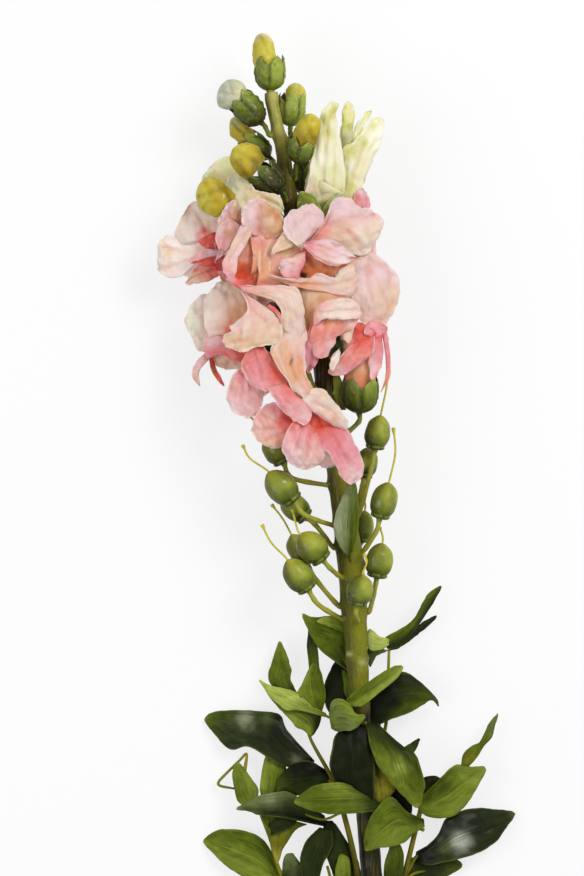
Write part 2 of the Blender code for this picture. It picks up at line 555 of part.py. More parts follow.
def add_capsule(name, foot, base, top, radius, style_middle, style_tip):
    base, top = np.array(base), np.array(top)
    along = unit(top - base)
    neck = pedicel_route(foot, base, along)
    body = np.array([base + (top - base) * share for share, _ in CAPSULE_PROFILE])
    style = curve_through([top, top + along * 1.5, style_middle, style_tip], STYLE_RINGS + 1)[1:]
    swell = [radius * share for _, share in CAPSULE_PROFILE]
    radii = [PEDICEL_RADIUS] * (len(neck) - 1) + swell + [STYLE_RADIUS] * len(style)
    swept_solid(name, np.vstack([neck[:-1], body, style]), radii, "capsule")


def leaf_object(name, base, middle, tip, half_width, face, columns=LEAF_COLUMNS):
    """A blade with a narrow stalk, pointed at its tip and a little folded along its middle."""
    base, middle, tip = (np.array(point) for point in (base, middle, tip))
    lead = base + unit(middle - base) * np.linalg.norm(middle - base) * 0.45
    t = np.linspace(0, 1, LEAF_ROWS + 1)[:, None]
    u = np.linspace(-1, 1, columns + 1)[None, :]
    share = np.broadcast_to(t, (LEAF_ROWS + 1, columns + 1))
    spine, heading = bezier(base, lead, middle, tip, share)
    side = unit(np.cross(heading, face))
    normal = np.cross(side, heading)
    width = half_width * (0.14 * (1 - t) + 0.04 * t + 0.9 * np.sin(math.pi * t**0.85) ** 0.8)
    points = spine + side * (u * width)[..., None] + normal * (0.16 * np.abs(u) * width)[..., None]
    faces = []
    for row in range(LEAF_ROWS):
        for k in range(columns):
            low, high = row * (columns + 1) + k, (row + 1) * (columns + 1) + k
            faces.append((low, low + 1, high + 1, high))
    made = add_object(name, laid_down(points, LEAF_THICKNESS).reshape(-1, 3), faces, "leaf")
    thicken(made, LEAF_THICKNESS)
    return made


def add_shoot(name, route, leaves):
    """A side stem and the leaves grown on it, joined in one piece."""
    curve = curve_through(route, 3 * len(route) - 2)
    made = swept_solid(name, curve[:, :3], curve[:, 3], "leaf")
    for number, leaf in enumerate(leaves):
        blade = leaf_object(f"{name}_leaf_{number}", *leaf, columns=SHOOT_LEAF_COLUMNS)
        blade.hide_render = True
        blade.display_type = "WIRE"
        join = made.modifiers.new(f"leaf_{number}", "BOOLEAN")
        join.operation = "UNION"
        join.object = blade


def centre_on_origin():
    """Move every piece so that the object's box stands on the origin."""
    bpy.context.view_layer.update()
    seen = bpy.context.evaluated_depsgraph_get()
    corners = np.array([
        corner[:] for made in bpy.data.objects if not made.hide_render
        for corner in made.evaluated_get(seen).bound_box])
    low, high = corners.min(axis=0), corners.max(axis=0)
    for made in bpy.data.objects:
        made.location = (-(low[0] + high[0]) / 2, -(low[1] + high[1]) / 2, -low[2])


def main():
    clear_scene()
    add_stem()
    for name, bud in BUDS.items():
        add_bud(name, *bud)
    for name, floret in FLORETS.items():
        add_floret(name, floret)
    for name, capsule in CAPSULES.items():
        add_capsule(name, *capsule)
    for name, leaf in LEAVES.items():
        leaf_object(name, *leaf)
    for name, shoot in SHOOTS.items():
        add_shoot(name, **shoot)
    centre_on_origin()


main()
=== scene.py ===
import math

import bpy
import numpy as np
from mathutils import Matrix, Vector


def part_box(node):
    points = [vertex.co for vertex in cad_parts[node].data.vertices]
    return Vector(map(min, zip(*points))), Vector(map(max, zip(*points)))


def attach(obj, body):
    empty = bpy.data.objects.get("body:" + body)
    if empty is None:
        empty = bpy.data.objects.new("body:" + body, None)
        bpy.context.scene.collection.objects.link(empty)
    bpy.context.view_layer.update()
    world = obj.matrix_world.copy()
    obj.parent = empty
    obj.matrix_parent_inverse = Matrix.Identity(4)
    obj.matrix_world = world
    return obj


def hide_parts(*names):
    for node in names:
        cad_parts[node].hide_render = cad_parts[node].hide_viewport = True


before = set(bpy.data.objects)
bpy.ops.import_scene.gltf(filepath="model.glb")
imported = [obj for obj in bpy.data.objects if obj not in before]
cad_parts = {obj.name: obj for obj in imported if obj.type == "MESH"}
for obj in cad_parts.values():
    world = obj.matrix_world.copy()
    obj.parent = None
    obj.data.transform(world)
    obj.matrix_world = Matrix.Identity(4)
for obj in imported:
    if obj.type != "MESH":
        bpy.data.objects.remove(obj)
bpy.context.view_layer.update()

# Places are in millimetres on the lying plant: x across it, y along it, z above the table.
mm = 0.001
up = (0.0, 0.0, 1.0)

colours = dict(
    ivory="#E8D6CA", blush="#E3BDB1", lilac="#E3C2C6", shell="#E0C2AC", rose="#E3A4A4", pink="#E08C97",
    salmon="#E08A80", coral="#DC5A4C", flame="#CC4626", wine="#B52A28", peach="#DFA27C", orange="#D0703A",
    tan="#C48F62", sand="#DDBF9F", rust="#98442A", petalEdge="#F4E6DF", warm="#EEAC80", glow="#EBB6AC",
    cream="#E9E7C2", lime="#C6C870", straw="#DAD494", paleCream="#F2F0DC",
    budYellow="#C8BC3E", budGold="#BAA226", budDeep="#86760F", budPale="#DEDCA8", budGrey="#B8BCA6",
    budTan="#D2B262",
    sepal="#66741F", sepalLight="#9CA848", sepalDark="#1E2607", sepalBrown="#3C330A", sepalPale="#C2C290",
    capsule="#6E781E", capsuleLight="#9CA33C", capsuleDark="#2C3208", capsuleTip="#ACA434", style="#C6B936",
    # Of the stem tones below, the shade, the dark brown and the three near-black ones are painted shade.
    stemTop="#A09A42", stemPale="#B4AE62", stemShade="#5A4C10", stemBrownShade="#3A2906", stemMid="#726B1C",
    stemLow="#7C7C1C", stemFootShadow="#2C260A", stemLeafShadow="#12120A", stemDark="#211E08", pith="#B9BB7E",
    bark="#57470F",
    # The two darkest leaf greens below are painted shade among the leaves.
    leaf="#505E12", leafLight="#727F2A", leafPale="#A0AB52", leafDark="#20290A", leafDeep="#121705",
    leafNight="#060702", leafGrey="#5E6A3C", leafAsh="#949A7A", leafOlive="#656414", leafSilver="#C8CCC2",
)


def linear(name):
    # A named screen colour as linear light, with the screen's own curve undone.
    text = colours[name].lstrip("#")
    value = np.array([int(text[k:k + 2], 16) for k in (0, 2, 4)]) / 255.0
    return np.where(value < 0.04045, value / 12.92, ((value + 0.055) / 1.055) ** 2.4)


def rgba(name):
    # The same with a full alpha, for a colour socket.
    return (*linear(name), 1.0)


def tonesAt(names, share):
    # Colours from a root to a tip: even stops, mixed in a straight line between neighbours.
    table = np.array([linear(name) for name in names.split()])
    stops = np.linspace(0, 1, len(table))
    return np.stack([np.interp(share, stops, table[:, k]) for k in range(3)], axis=-1)


def blend(first, second, share):
    # first + (second - first) x share, for colours on a grid.
    share = np.asarray(share)[..., None]
    return first + (second - first) * share


def unit(vector):
    vector = np.asarray(vector, float)
    return vector / np.maximum(np.linalg.norm(vector, axis=-1, keepdims=True), 1e-9)


def smoothStep(x):
    # 3 x^2 - 2 x^3 between 0 and 1.
    x = np.clip(x, 0.0, 1.0)
    return x * x * (3.0 - 2.0 * x)


def bell(x):
    # e to the power -x^2: 1 at 0, nearly 0 beyond 2.
    return np.exp(-np.square(x))


def ripple(points, wavelength, seed):
    # Smooth irregular values, mostly from -1 to 1: the mean of seven sines in seeded directions.
    draw = np.random.default_rng(seed)
    waves = unit(draw.normal(size=(7, 3))) * (2 * math.pi / wavelength) * draw.uniform(0.6, 1.5, (7, 1))
    return 1.8 * np.sin(points @ waves.T + draw.uniform(0, 2 * math.pi, 7)).mean(axis=-1)


def curveThrough(points, count):
    # Catmull-Rom curve through the points, any number of columns, read at count places.
    points = np.asarray(points, float)
    ends = np.vstack([2 * points[0] - points[1], points, 2 * points[-1] - points[-2]])
    place = np.linspace(0, len(points) - 1, count)
    span = np.minimum(place.astype(int), len(points) - 2)
    t = (place - span)[:, None]
    a, b, c, d = (ends[span + k] for k in range(4))
    bend = (2 * a - 5 * b + 4 * c - d) * t**2 + (3 * b - a - 3 * c + d) * t**3
    return 0.5 * (2 * b + (c - a) * t + bend)


def framesAlong(centres):
    # Two directions across a route at each centre, carried along without twisting.
    tangents = unit(np.gradient(centres, axis=0))
    across = np.cross(tangents[0], (0.31, 0.17, 0.94))
    firsts = []
    for tangent in tangents:
        across = unit(across - np.dot(across, tangent) * tangent)
        firsts.append(across)
    firsts = np.array(firsts)
    return firsts, np.cross(tangents, firsts)


def acrossAxis(along):
    # Two directions square to an axis and to each other.
    first = unit(np.cross(along, (0.2, 0.9, 0.37)))
    return first, np.cross(along, first)


def tubeGrid(centres, radii, sides):
    # Circles round each centre: radii holds one value for each ring, or one for each ring and side.
    firsts, seconds = framesAlong(centres)
    turn = np.linspace(0, 2 * math.pi, sides, endpoint=False)
    radii = np.asarray(radii, float)
    radii = np.broadcast_to(radii[:, None] if radii.ndim == 1 else radii, (len(centres), sides))
    circle = np.einsum("s,rk->rsk", np.cos(turn), firsts) + np.einsum("s,rk->rsk", np.sin(turn), seconds)
    return centres[:, None] + circle * radii[..., None]


def gridFaces(rows, columns, around=False):
    # Quads between neighbouring rows and columns of points numbered row by row.
    row, column = np.mgrid[0:rows - 1, 0:columns if around else columns - 1]
    after = (column + 1) % columns
    low, high = row * columns, (row + 1) * columns
    return np.stack([low + column, low + after, high + after, high + column], axis=-1).reshape(-1, 4)


def ringAcross(along, sides):
    # Angles round an axis and the directions out of it: cos(angle) x one across it + sin(angle) x the other.
    first, second = acrossAxis(along)
    angle = np.linspace(0, 2 * math.pi, sides, endpoint=False)
    return angle, np.outer(np.cos(angle), first) + np.outer(np.sin(angle), second)


def bothSides(edge, t):
    # The two sides of an outline, t of the way from its root to the tip in its middle.
    places = np.linspace(0, 1, len(edge))

    def read(share):
        return np.stack([np.interp(share, places, edge[:, k]) for k in range(3)], axis=-1)

    return read(t / 2), read(1 - t / 2)


def fromLine(grid, x0, y0, x1, y1):
    # How far each point lies, seen from above, from the line between two places.
    start, span = np.array((x0, y0)), np.array((x1 - x0, y1 - y0))
    share = np.clip(((grid[..., :2] - start) @ span) / (span @ span), 0, 1)
    return np.linalg.norm(grid[..., :2] - start - share[..., None] * span, axis=-1)


def seedOf(name, limit=97):
    # A number from a name, the same in every run.
    return sum(map(ord, name)) % limit


def gridNormals(grid):
    # The cross product of the steps along the two ways of the grid, at length 1.
    return unit(np.cross(np.gradient(grid, axis=1), np.gradient(grid, axis=0)))


def fannedVolume(points, faces):
    # Signed volume of a closed mesh: the sum over its triangles of a . (b x c) / 6.
    total = 0.0
    for block in faces:
        for k in range(1, block.shape[1] - 1):
            a, b, c = points[block[:, 0]], points[block[:, k]], points[block[:, k + 1]]
            total += np.einsum("ij,ij->", a, np.cross(b, c)) / 6
    return total


# The stem's route with its radius. Swept as the frame has it, it tells where these millimetres lie in it.
stemRoute = (
    (25, -222, 4.6, 4.6), (23, -198, 6.5, 4.4), (20.8, -172, 8.6, 4.3), (18, -136, 12, 4.3),
    (16, -104, 15.5, 4.3), (14.8, -84, 18, 4.6), (12.8, -56, 21, 5.2), (10, -32, 24, 4.8),
    (6, -4, 27, 4.3), (2, 24, 29, 3.9), (-4, 58, 30, 3.7), (-9.5, 84, 30.5, 3.5),
    (-12.6, 98, 31, 3.2), (-15, 116, 31, 2.7), (-18.6, 131, 31, 2.5), (-19.6, 138.6, 31, 2.6),
)
frameStem = curveThrough(stemRoute, 30)
sweptLow = tubeGrid(frameStem[:, :3], frameStem[:, 3], 12).reshape(-1, 3).min(axis=0)
shift = np.array(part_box("main_stem")[0]) - sweptLow * mm

rimShare = 0.45  # a sheet's thickness at its edge, as a share of the whole


class Surface:
    # Gathers grids of points into one mesh, with a colour and a place on the surface at each point.
    def __init__(self):
        self.points, self.faces, self.tones, self.places, self.total = [], [], [], [], 0

    def keep(self, points, faces, tone, place):
        # One closed shell, turned so that it faces outwards.
        shape = points.shape[:-1]
        tone = np.broadcast_to(tone, (*shape, 3)).reshape(-1, 3)
        place = np.broadcast_to(place, (*shape, 3)).reshape(-1, 3)
        points = points.reshape(-1, 3)
        if fannedVolume(points, faces) < 0:
            faces = [block[:, ::-1] for block in faces]
        self.faces += [block + self.total for block in faces]
        self.points.append(points)
        self.tones.append(tone)
        self.places.append(place)
        self.total += len(points)

    def solid(self, grid, tone, place=(0.0, 0.0, 0.0)):
        # A closed tube: the rings of the grid, with a point in the middle of each end.
        rows, sides = grid.shape[:2]
        tone = np.broadcast_to(tone, (rows, sides, 3))
        place = np.broadcast_to(place, (rows, sides, 3))
        ring = np.arange(sides)
        after = (ring + 1) % sides
        last = (rows - 1) * sides
        poles = rows * sides + np.zeros((sides, 1), int)
        start = np.concatenate([poles, after[:, None], ring[:, None]], axis=1)
        end = np.concatenate([poles + 1, last + ring[:, None], last + after[:, None]], axis=1)

        def join(values):
            return np.vstack([values.reshape(-1, 3), values[0].mean(axis=0), values[-1].mean(axis=0)])

        self.keep(join(grid), [gridFaces(rows, sides, True), start, end], join(tone), join(place))

    def sheet(self, grid, tone, place, thickness):
        # A thin sheet: the grid moved half the thickness each way, thinner at its edge, and rimmed.
        rows, columns = grid.shape[:2]
        inner = np.ones((rows, columns))
        inner[[0, -1]] = rimShare
        inner[:, [0, -1]] = rimShare
        half = gridNormals(grid) * (np.broadcast_to(thickness, (rows, columns)) * inner)[..., None] / 2
        count = rows * columns
        number = np.arange(count).reshape(rows, columns)
        loop = np.concatenate([number[0], number[1:, -1], number[-1, -2::-1], number[-2:0:-1, 0]])
        after = np.roll(loop, -1)
        front = gridFaces(rows, columns)
        rim = np.stack([after, loop, loop + count, after + count], axis=1)
        points = np.concatenate([grid + half, grid - half])

        def both(values):
            return np.concatenate([np.broadcast_to(values, (rows, columns, 3))] * 2)

        self.keep(points, [front, front[:, ::-1] + count, rim], both(tone), both(place))

    def build(self, name, finish, nodes=(), slot=None):
        # One object at the origin from all that was gathered.
        mesh = bpy.data.meshes.new(name)
        points = np.concatenate(self.points) * mm + shift
        mesh.from_pydata(points.tolist(), [], [face for block in self.faces for face in block.tolist()])
        tone = mesh.attributes.new("tone", "FLOAT_COLOR", "POINT")
        shade = np.hstack([np.concatenate(self.tones), np.ones((len(points), 1))])
        tone.data.foreach_set("color", shade.astype(np.float32).ravel())
        place = mesh.attributes.new("place", "FLOAT_VECTOR", "POINT")
        place.data.foreach_set("vector", np.concatenate(self.places).astype(np.float32).ravel())
        mesh.materials.append(finish)
        mesh.shade_smooth()
        piece = bpy.data.objects.new(name, mesh)
        bpy.context.scene.collection.objects.link(piece)
        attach(piece, "root")
        if nodes:
            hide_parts(*nodes)


class Wire:
    # A shader socket: + - * / ** and abs() on it add Math nodes to its tree.
    def __init__(self, finish, socket):
        self.finish, self.socket = finish, socket

    def math(self, operation, *values):
        made = self.finish.node("ShaderNodeMath", {"operation": operation}, dict(enumerate(values)))
        return Wire(self.finish, made.outputs[0])

    def __add__(self, other):
        return self.math("ADD", self, other)

    def __radd__(self, other):
        return self.math("ADD", other, self)

    def __sub__(self, other):
        return self.math("SUBTRACT", self, other)

    def __rsub__(self, other):
        return self.math("SUBTRACT", other, self)

    def __mul__(self, other):
        return self.math("MULTIPLY", self, other)

    def __rmul__(self, other):
        return self.math("MULTIPLY", other, self)

    def __truediv__(self, other):
        return self.math("DIVIDE", self, other)

    def __rtruediv__(self, other):
        return self.math("DIVIDE", other, self)

    def __pow__(self, other):
        return self.math("POWER", self, other)

    def __abs__(self):
        return self.math("ABSOLUTE", self)

    def sine(self):
        return self.math("SINE", self)

    def over(self, low, high):
        # 0 below low, 1 above high, and smooth between.
        limits = {"Value": self, "From Min": low, "From Max": high}
        made = self.finish.node("ShaderNodeMapRange", {"interpolation_type": "SMOOTHSTEP"}, limits)
        return Wire(self.finish, made.outputs["Result"])


class Finish:
    # A Principled material whose constant values are set once and whose patterns are wired in.
    def __init__(self, name, **constants):
        self.material = bpy.data.materials.new(name)
        self.material.use_nodes = True
        self.tree = self.material.node_tree
        self.shader = self.tree.nodes["Principled BSDF"]
        for key, value in constants.items():
            self.shader.inputs[key.replace("_", " ")].default_value = value

    def node(self, kind, settings=None, sockets=None):
        # Any node, from its type, its settings and the values or wires of its sockets.
        made = self.tree.nodes.new(kind)
        for key, value in (settings or {}).items():
            setattr(made, key, value)
        for key, value in (sockets or {}).items():
            self.feed(made.inputs[key], value)
        return made

    def feed(self, socket, value):
        if isinstance(value, Wire):
            self.tree.links.new(value.socket, socket)
        else:
            socket.default_value = value

    def output(self, made, key):
        return Wire(self, made.outputs[key])

    def attribute(self, name, key):
        return self.output(self.node("ShaderNodeAttribute", {"attribute_name": name}), key)

    def place(self):
        # The three numbers that the surface holds at each point, such as across, along and the piece's own.
        parts = self.node("ShaderNodeSeparateXYZ", sockets={0: self.attribute("place", "Vector")})
        return [self.output(parts, key) for key in "XYZ"]

    def where(self):
        return self.output(self.node("ShaderNodeTexCoord"), "Object")

    def noiseOn(self, vector, scale, detail=2.0):
        made = self.node("ShaderNodeTexNoise", sockets={"Vector": vector, "Scale": scale, "Detail": detail})
        return self.output(made, 0)

    def noise(self, size, detail=2.0):
        # Noise on the object's own coordinates whose blotches are about size millimetres across.
        return self.noiseOn(self.where(), 1 / (size * mm), detail)

    def drawn(self, across, along, number, detail=3.0):
        # Noise on three numbers of the surface itself: one that changes slowly draws it out into streaks.
        joined = self.node("ShaderNodeCombineXYZ", sockets={0: across, 1: along, 2: number})
        return self.noiseOn(self.output(joined, 0), 1.0, detail)

    def mix(self, factor, first, second, blend="MIX"):
        sockets = {0: factor, 6: first, 7: second}
        made = self.node("ShaderNodeMix", {"data_type": "RGBA", "blend_type": blend}, sockets)
        return self.output(made, 2)

    def times(self, colour, name):
        # A colour multiplied with a named one.
        return self.mix(1.0, colour, rgba(name), "MULTIPLY")

    def raised(self, colour, times, plus):
        # A colour times one vector plus another.
        sockets = {0: colour, 1: times, 2: plus}
        return self.output(self.node("ShaderNodeVectorMath", {"operation": "MULTIPLY_ADD"}, sockets), 0)

    def bump(self, height, depth, strength=1.0):
        sockets = {"Height": height, "Distance": depth * mm, "Strength": strength}
        self.set("Normal", self.output(self.node("ShaderNodeBump", sockets=sockets), "Normal"))

    def set(self, key, value):
        self.feed(self.shader.inputs[key], value)


petalFinishLook = dict(streakAcross=1, streakAlong=0.16, veinAcross=3.4, veinAlong=0.2, cloud=9, depth=0.2)


def petalFinish(name, coolTone, warmTone, glowTone, through):
    # Own colour in soft clouds of a cool and of a warm tone, a little deeper along the lobe where drawn-out
    # noise is high, with pale specks; a satin skin that light goes through.
    look = petalFinishLook
    finish = Finish(name, Subsurface_Weight=0.35, Subsurface_Radius=through,
                    Subsurface_Scale=0.0014, Specular_IOR_Level=0.22, Sheen_Weight=0.06, Sheen_Roughness=0.5)
    across, along, number = finish.place()
    streak = finish.drawn(across * look["streakAcross"], along * look["streakAlong"], number)
    veins = finish.drawn(across * look["veinAcross"], along * look["veinAlong"], number + 9.0, 2.0)
    cloud, soft, fine = finish.noise(look["cloud"], 2.0), finish.noise(3.2, 3.0), finish.noise(0.7, 2.0)
    tone = finish.attribute("tone", "Color")
    cool = finish.mix((0.52 - cloud).over(0.0, 0.2) * 0.22, tone, rgba(coolTone))
    warm = finish.mix((cloud - 0.48).over(0.0, 0.24) * 0.15, cool, finish.times(tone, warmTone))
    deep = finish.times(warm, glowTone)
    veined = finish.mix(streak.over(0.5, 0.8) * 0.2 + veins.over(0.52, 0.75) * 0.12, warm, deep)
    finish.set("Base Color", finish.mix(soft.over(0.5, 0.8) * 0.2, veined, rgba("petalEdge")))
    finish.set("Roughness", 0.46 + fine * 0.18)
    finish.bump(streak + veins * 0.5 + fine * 0.25 + soft, look["depth"])
    return finish.material


leafFinishLook = dict(sideVeins=6, veinSlant=2, depth=0.16)


def leafFinish():
    # Own colour, paler along the midrib and faint slanting side veins, streaked and mottled; own gloss.
    look = leafFinishLook
    finish = Finish("leafSkin", Subsurface_Weight=0.03, Subsurface_Radius=(0.5, 1.0, 0.2),
                    Subsurface_Scale=0.0006, Specular_IOR_Level=0.06, Coat_Roughness=0.2)
    across, along, gloss = finish.place()
    soft, fine = finish.noise(5.0, 3.0), finish.noise(0.45, 2.0)
    streak = finish.drawn(across * 9.0, along * 2.2, gloss * 7.0)
    width = abs(across)
    midrib = 1.0 - width.over(0.01, 0.045)
    slant = along * look["sideVeins"] - width * look["veinSlant"] + soft * 0.5
    lines = ((slant * (2 * math.pi)).sine() * 0.5 + 0.5) ** 8.0
    lines = lines * width.over(0.03, 0.25) * (1.0 - width.over(0.65, 1.0))
    tone = finish.attribute("tone", "Color")
    dark = finish.times(tone, "leafPale")
    streaked = finish.mix(streak.over(0.42, 0.7) * 0.6, tone, dark)
    light = finish.raised(tone, (1.7, 1.65, 1.5), (0.003, 0.004, 0.001))
    mottled = finish.mix(soft.over(0.45, 0.75) * 0.5, streaked, light)
    finish.set("Base Color", finish.mix(midrib * 0.7 + lines * 0.16, mottled, light))
    finish.set("Roughness", 0.45 + soft * 0.16)
    finish.set("Coat Weight", gloss * gloss * (0.2 + soft * 0.5))
    finish.bump(soft + fine * 0.3 + streak * 0.5 - lines * 0.2 - midrib * 0.7, look["depth"])
    return finish.material


def waxFinish():
    # Own colour, clouded with deeper patches and a few paler ones, under a wet-looking coat; an uneven skin.
    finish = Finish("budWax", Subsurface_Weight=0.3, Subsurface_Radius=(1.0, 0.8, 0.25),
                    Subsurface_Scale=0.002, Specular_IOR_Level=0.25, Coat_Roughness=0.16)
    soft, lumps, fine = finish.noise(4.0), finish.noise(1.8, 3.0), finish.noise(0.5)
    tone = finish.attribute("tone", "Color")
    deep = finish.times(tone, "budTan")
    clouded = finish.mix(soft.over(0.46, 0.7) * 0.4, tone, deep)
    finish.set("Base Color", finish.mix(lumps.over(0.6, 0.8) * 0.25, clouded, rgba("budPale")))
    finish.set("Roughness", 0.36 + lumps * 0.2)
    finish.set("Coat Weight", lumps.over(0.5, 0.72) * 0.35)
    finish.bump(soft + lumps * 0.5 + fine * 0.2, 0.2)
    return finish.material


def greenFinish(name, streak, roughness, depth, coat):
    # Own colour with streaks drawn out along the plant, small pores and a little coat in the smooth places.
    finish = Finish(name, Subsurface_Weight=0.04, Subsurface_Radius=(0.5, 1.0, 0.2),
                    Subsurface_Scale=0.0008, Specular_IOR_Level=0.12, Coat_Roughness=0.2)
    sockets = {"Vector": finish.where(), "Scale": (1.0, 1.0 / streak, 1.0)}
    stretched = finish.output(finish.node("ShaderNodeMapping", sockets=sockets), "Vector")
    lines = finish.noiseOn(stretched, 1 / (0.8 * mm), 3.0)
    soft, pores = finish.noise(3.6, 3.0), finish.noise(0.35)
    tone = finish.attribute("tone", "Color")
    dark = finish.times(tone, "leafPale")
    light = finish.mix(0.3, tone, rgba("sepalLight"))
    mottled = finish.mix(soft.over(0.4, 0.7) * 0.45, tone, dark)
    finish.set("Base Color", finish.mix(lines.over(0.5, 0.7) * 0.5, mottled, light))
    finish.set("Roughness", roughness + soft * 0.16)
    finish.set("Coat Weight", soft.over(0.45, 0.7) * coat)
    finish.bump(lines * 0.6 + pores * 0.3 + soft * 0.6, depth)
    return finish.material


# The stem, and the stalks that leave it
stemLook = dict(
    sides=72, rings=420, ridges=7, ridgeDepth=0.07, scarHeight=0.7, scarRadius=2.4, leftShade=0.6,
    dents=(0.14, 9.0),  # height and size
    foot=-222, footBend=2.5, footDepth=0.5,  # y of the cut end, and how its rim is rounded
    nodeRing=(-88, 0.5, 1),  # y of its middle, height and half length
    groove=(2.4, 0.3, 0.8),  # the dip above the ring: how far above, depth and half length
    rust=("bark", 0.35),
    # tones by height: the near-black ones low down are painted shadow among the leaves, and the brown and
    # shaded ones from y 20 to 102 are painted shade under the flower head
    tones=((-222, "stemFootShadow"), (-150, "stemFootShadow"), (-112, "stemLeafShadow"), (-105, "stemMid"), (-99, "stemLow"),
           (-60, "stemLow"), (-20, "stemMid"), (10, "stemMid"), (20, "stemBrownShade"), (88, "stemBrownShade"),
           (102, "stemShade"), (110, "stemMid"), (120, "stemTop"), (139, "stemPale")),
    marks=((11.6, -86, 1.5), (17.2, -89.4, 1.7)),  # x, y and size of the two pale scars by the ring
)
stem = curveThrough(stemRoute, stemLook["rings"])


def stemAt(y):
    # The stem's middle, the directions to its right and front, and its radius at y.
    def read(height):
        return np.array([np.interp(height, stem[:, 1], stem[:, k]) for k in range(4)])

    middle = read(y)
    tangent = unit((read(y + 4) - read(y - 4))[:3])
    right = unit(np.cross(tangent, up))
    return middle[:3], right, np.cross(right, tangent), middle[3]


footInside, footOutside = 0.6, 1.3  # how far a stalk's first two points lie from the stem's skin


def footOnStem(y, turn):
    # A stalk's first two points, squarely out of the stem. Turn 0 is right and 90 is up.
    middle, right, front, radius = stemAt(y)
    out = math.cos(math.radians(turn)) * right + math.sin(math.radians(turn)) * front
    return middle + out * (radius - footInside), middle + out * (radius + footOutside)


def paintedShadeLeft(tone, out, amount):
    # Painted shade on the side that looks to the left: the tone times 1 - amount x a smooth step of that
    # look.
    return tone * (1 - amount * smoothStep(0.55 - 0.75 * out[..., 0] - 0.2 * out[..., 2]))[..., None]


pedicelLook = dict(radius=0.95, flare=0.9, head=0.5, rings=40, sides=14, knots=0.16, leftShade=0.4)


def pedicelRoute(foot, base, along):
    # Centres from inside the stem to the base, arriving in the direction given.
    start, second = footOnStem(*foot)
    span = np.linalg.norm(base - second)
    return curveThrough([start, second, base - along * span * 0.35, base], pedicelLook["rings"])


def addPedicel(surface, route, tones, radius=None):
    # A round stalk: radius + a flare at the stem + a wider head + knots, a power of a sine along it.
    look = pedicelLook
    t = np.linspace(0, 1, len(route))
    girth = (radius or look["radius"]) + look["flare"] * (1 - smoothStep(t / 0.2))
    girth = girth + look["head"] * smoothStep((t - 0.9) / 0.1)
    girth = girth + look["knots"] * np.abs(np.sin(t * 13 + route[0, 1])) ** 6
    grid = tubeGrid(route, girth, look["sides"])
    out = unit(grid - route[:, None])
    # Painted shade on the stalk's left side.
    surface.solid(grid, paintedShadeLeft(tonesAt(tones, t)[:, None], out, look["leftShade"]))


def makeStem(finish, feet):
    # Swept tube: fine ridges, a swelling under every stalk and one raised ring where leaves once sat.
    look = stemLook
    y = stem[:, 1][:, None]
    turn = np.linspace(0, 2 * math.pi, look["sides"], endpoint=False)[None]
    grid = tubeGrid(stem[:, :3], stem[:, 3], look["sides"])
    out = unit(grid - stem[:, None, :3])
    lift = look["ridgeDepth"] * np.sin(look["ridges"] * turn + 2.0 * np.sin(y / 31))
    dent, size = look["dents"]
    lift = lift + dent * ripple(grid, size, 3)
    middle, height, half = look["nodeRing"]
    above, depth, short = look["groove"]
    lift += height * bell((y - middle) / half) - depth * bell((y - middle - above) / short)
    for footY, footTurn in feet:
        place, _ = footOnStem(footY, footTurn)
        away = np.linalg.norm(grid - place, axis=-1)
        lift += look["scarHeight"] * bell(away / look["scarRadius"])
    ends = smoothStep((y - look["foot"]) / look["footBend"])
    grid = grid + out * (lift * ends - look["footDepth"] * (1 - ends))[..., None]
    # Colour by height with its painted shade, then painted shade on the side that looks left, patches of
    # bark and the pale scars.
    heights = [stop for stop, _ in look["tones"]]
    table = np.array([linear(name) for _, name in look["tones"]])
    where = y + 4.0 * ripple(grid, 30.0, 5)
    tone = np.stack([np.interp(where, heights, table[:, k]) for k in range(3)], axis=-1)
    tone = paintedShadeLeft(tone, out, look["leftShade"])
    name, strength = look["rust"]
    tone = blend(tone, linear(name), smoothStep(ripple(grid, 12.0, 8) - 0.45) * strength)
    for x, markY, size in look["marks"]:
        away = np.hypot(grid[..., 0] - x, (grid[..., 1] - markY) * 1.6)
        tone = blend(tone, linear("pith"), 0.8 * bell(away / size) * (out[..., 2] > 0))
    surface = Surface()
    surface.solid(grid, tone)
    surface.build("main_stem_skin", finish, ["main_stem"], "stem")


# Blades: petals, leaves and strips, each from its own outline
bladeLook = dict(
    rows=44, columns=30, thickness=0.26,
    bulge=0.08,  # how far the middle stands up, as a share of the half width
    ruffle=0.5, waves=3,  # height in mm of the edge's waves, and how many
    frill=0.65,  # height in mm of the uneven crimps at the edge
    roll=0,  # how far the sides bend up, as a share of the half width
    pleat=0.06, pleats=4,  # depth in mm of the folds that run from the root, and how many
    wrinkle=0.66,  # height in mm of the uneven dents
    crumple=0.8,  # height in mm of the sharp folds, which lie where a ripple is 0
    wobble=0.36,  # how far in mm the outline wanders
    # shade: painted shade in the creases
    shade=(0.88, 0.6, 0.5),  # what the colour is multiplied with in a crease
    # edge: on petals its pale colour at the margin is a painted rim highlight
    edge=("petalEdge", 0.5),  # colour of the thin margin and how much of it
    stains=(),  # x, y, radius, colour and strength
    creases=(),  # x, y, x, y, width and depth of a straight fold
    heights=None,  # z at the root, the middle and the tip of an outline that has none
    rooted=True,  # whether a collar joins it to its tube's rim
    face=up, gloss=None,  # where the front looks, and a leaf's gloss
)
edgePoints = 241  # an outline is read at this many places


def withHeights(outline, heights):
    # An outline on the level gets its z from the heights of its root, its middle and its tip.
    outline = np.asarray(outline, float)
    if outline.shape[1] == 3:
        return outline
    t = 1 - np.abs(np.linspace(-1, 1, len(outline)))
    root, middle, tip = heights
    z = root * (1 - t) * (1 - 2 * t) + 4 * middle * t * (1 - t) + tip * t * (2 * t - 1)
    return np.column_stack([outline, z])


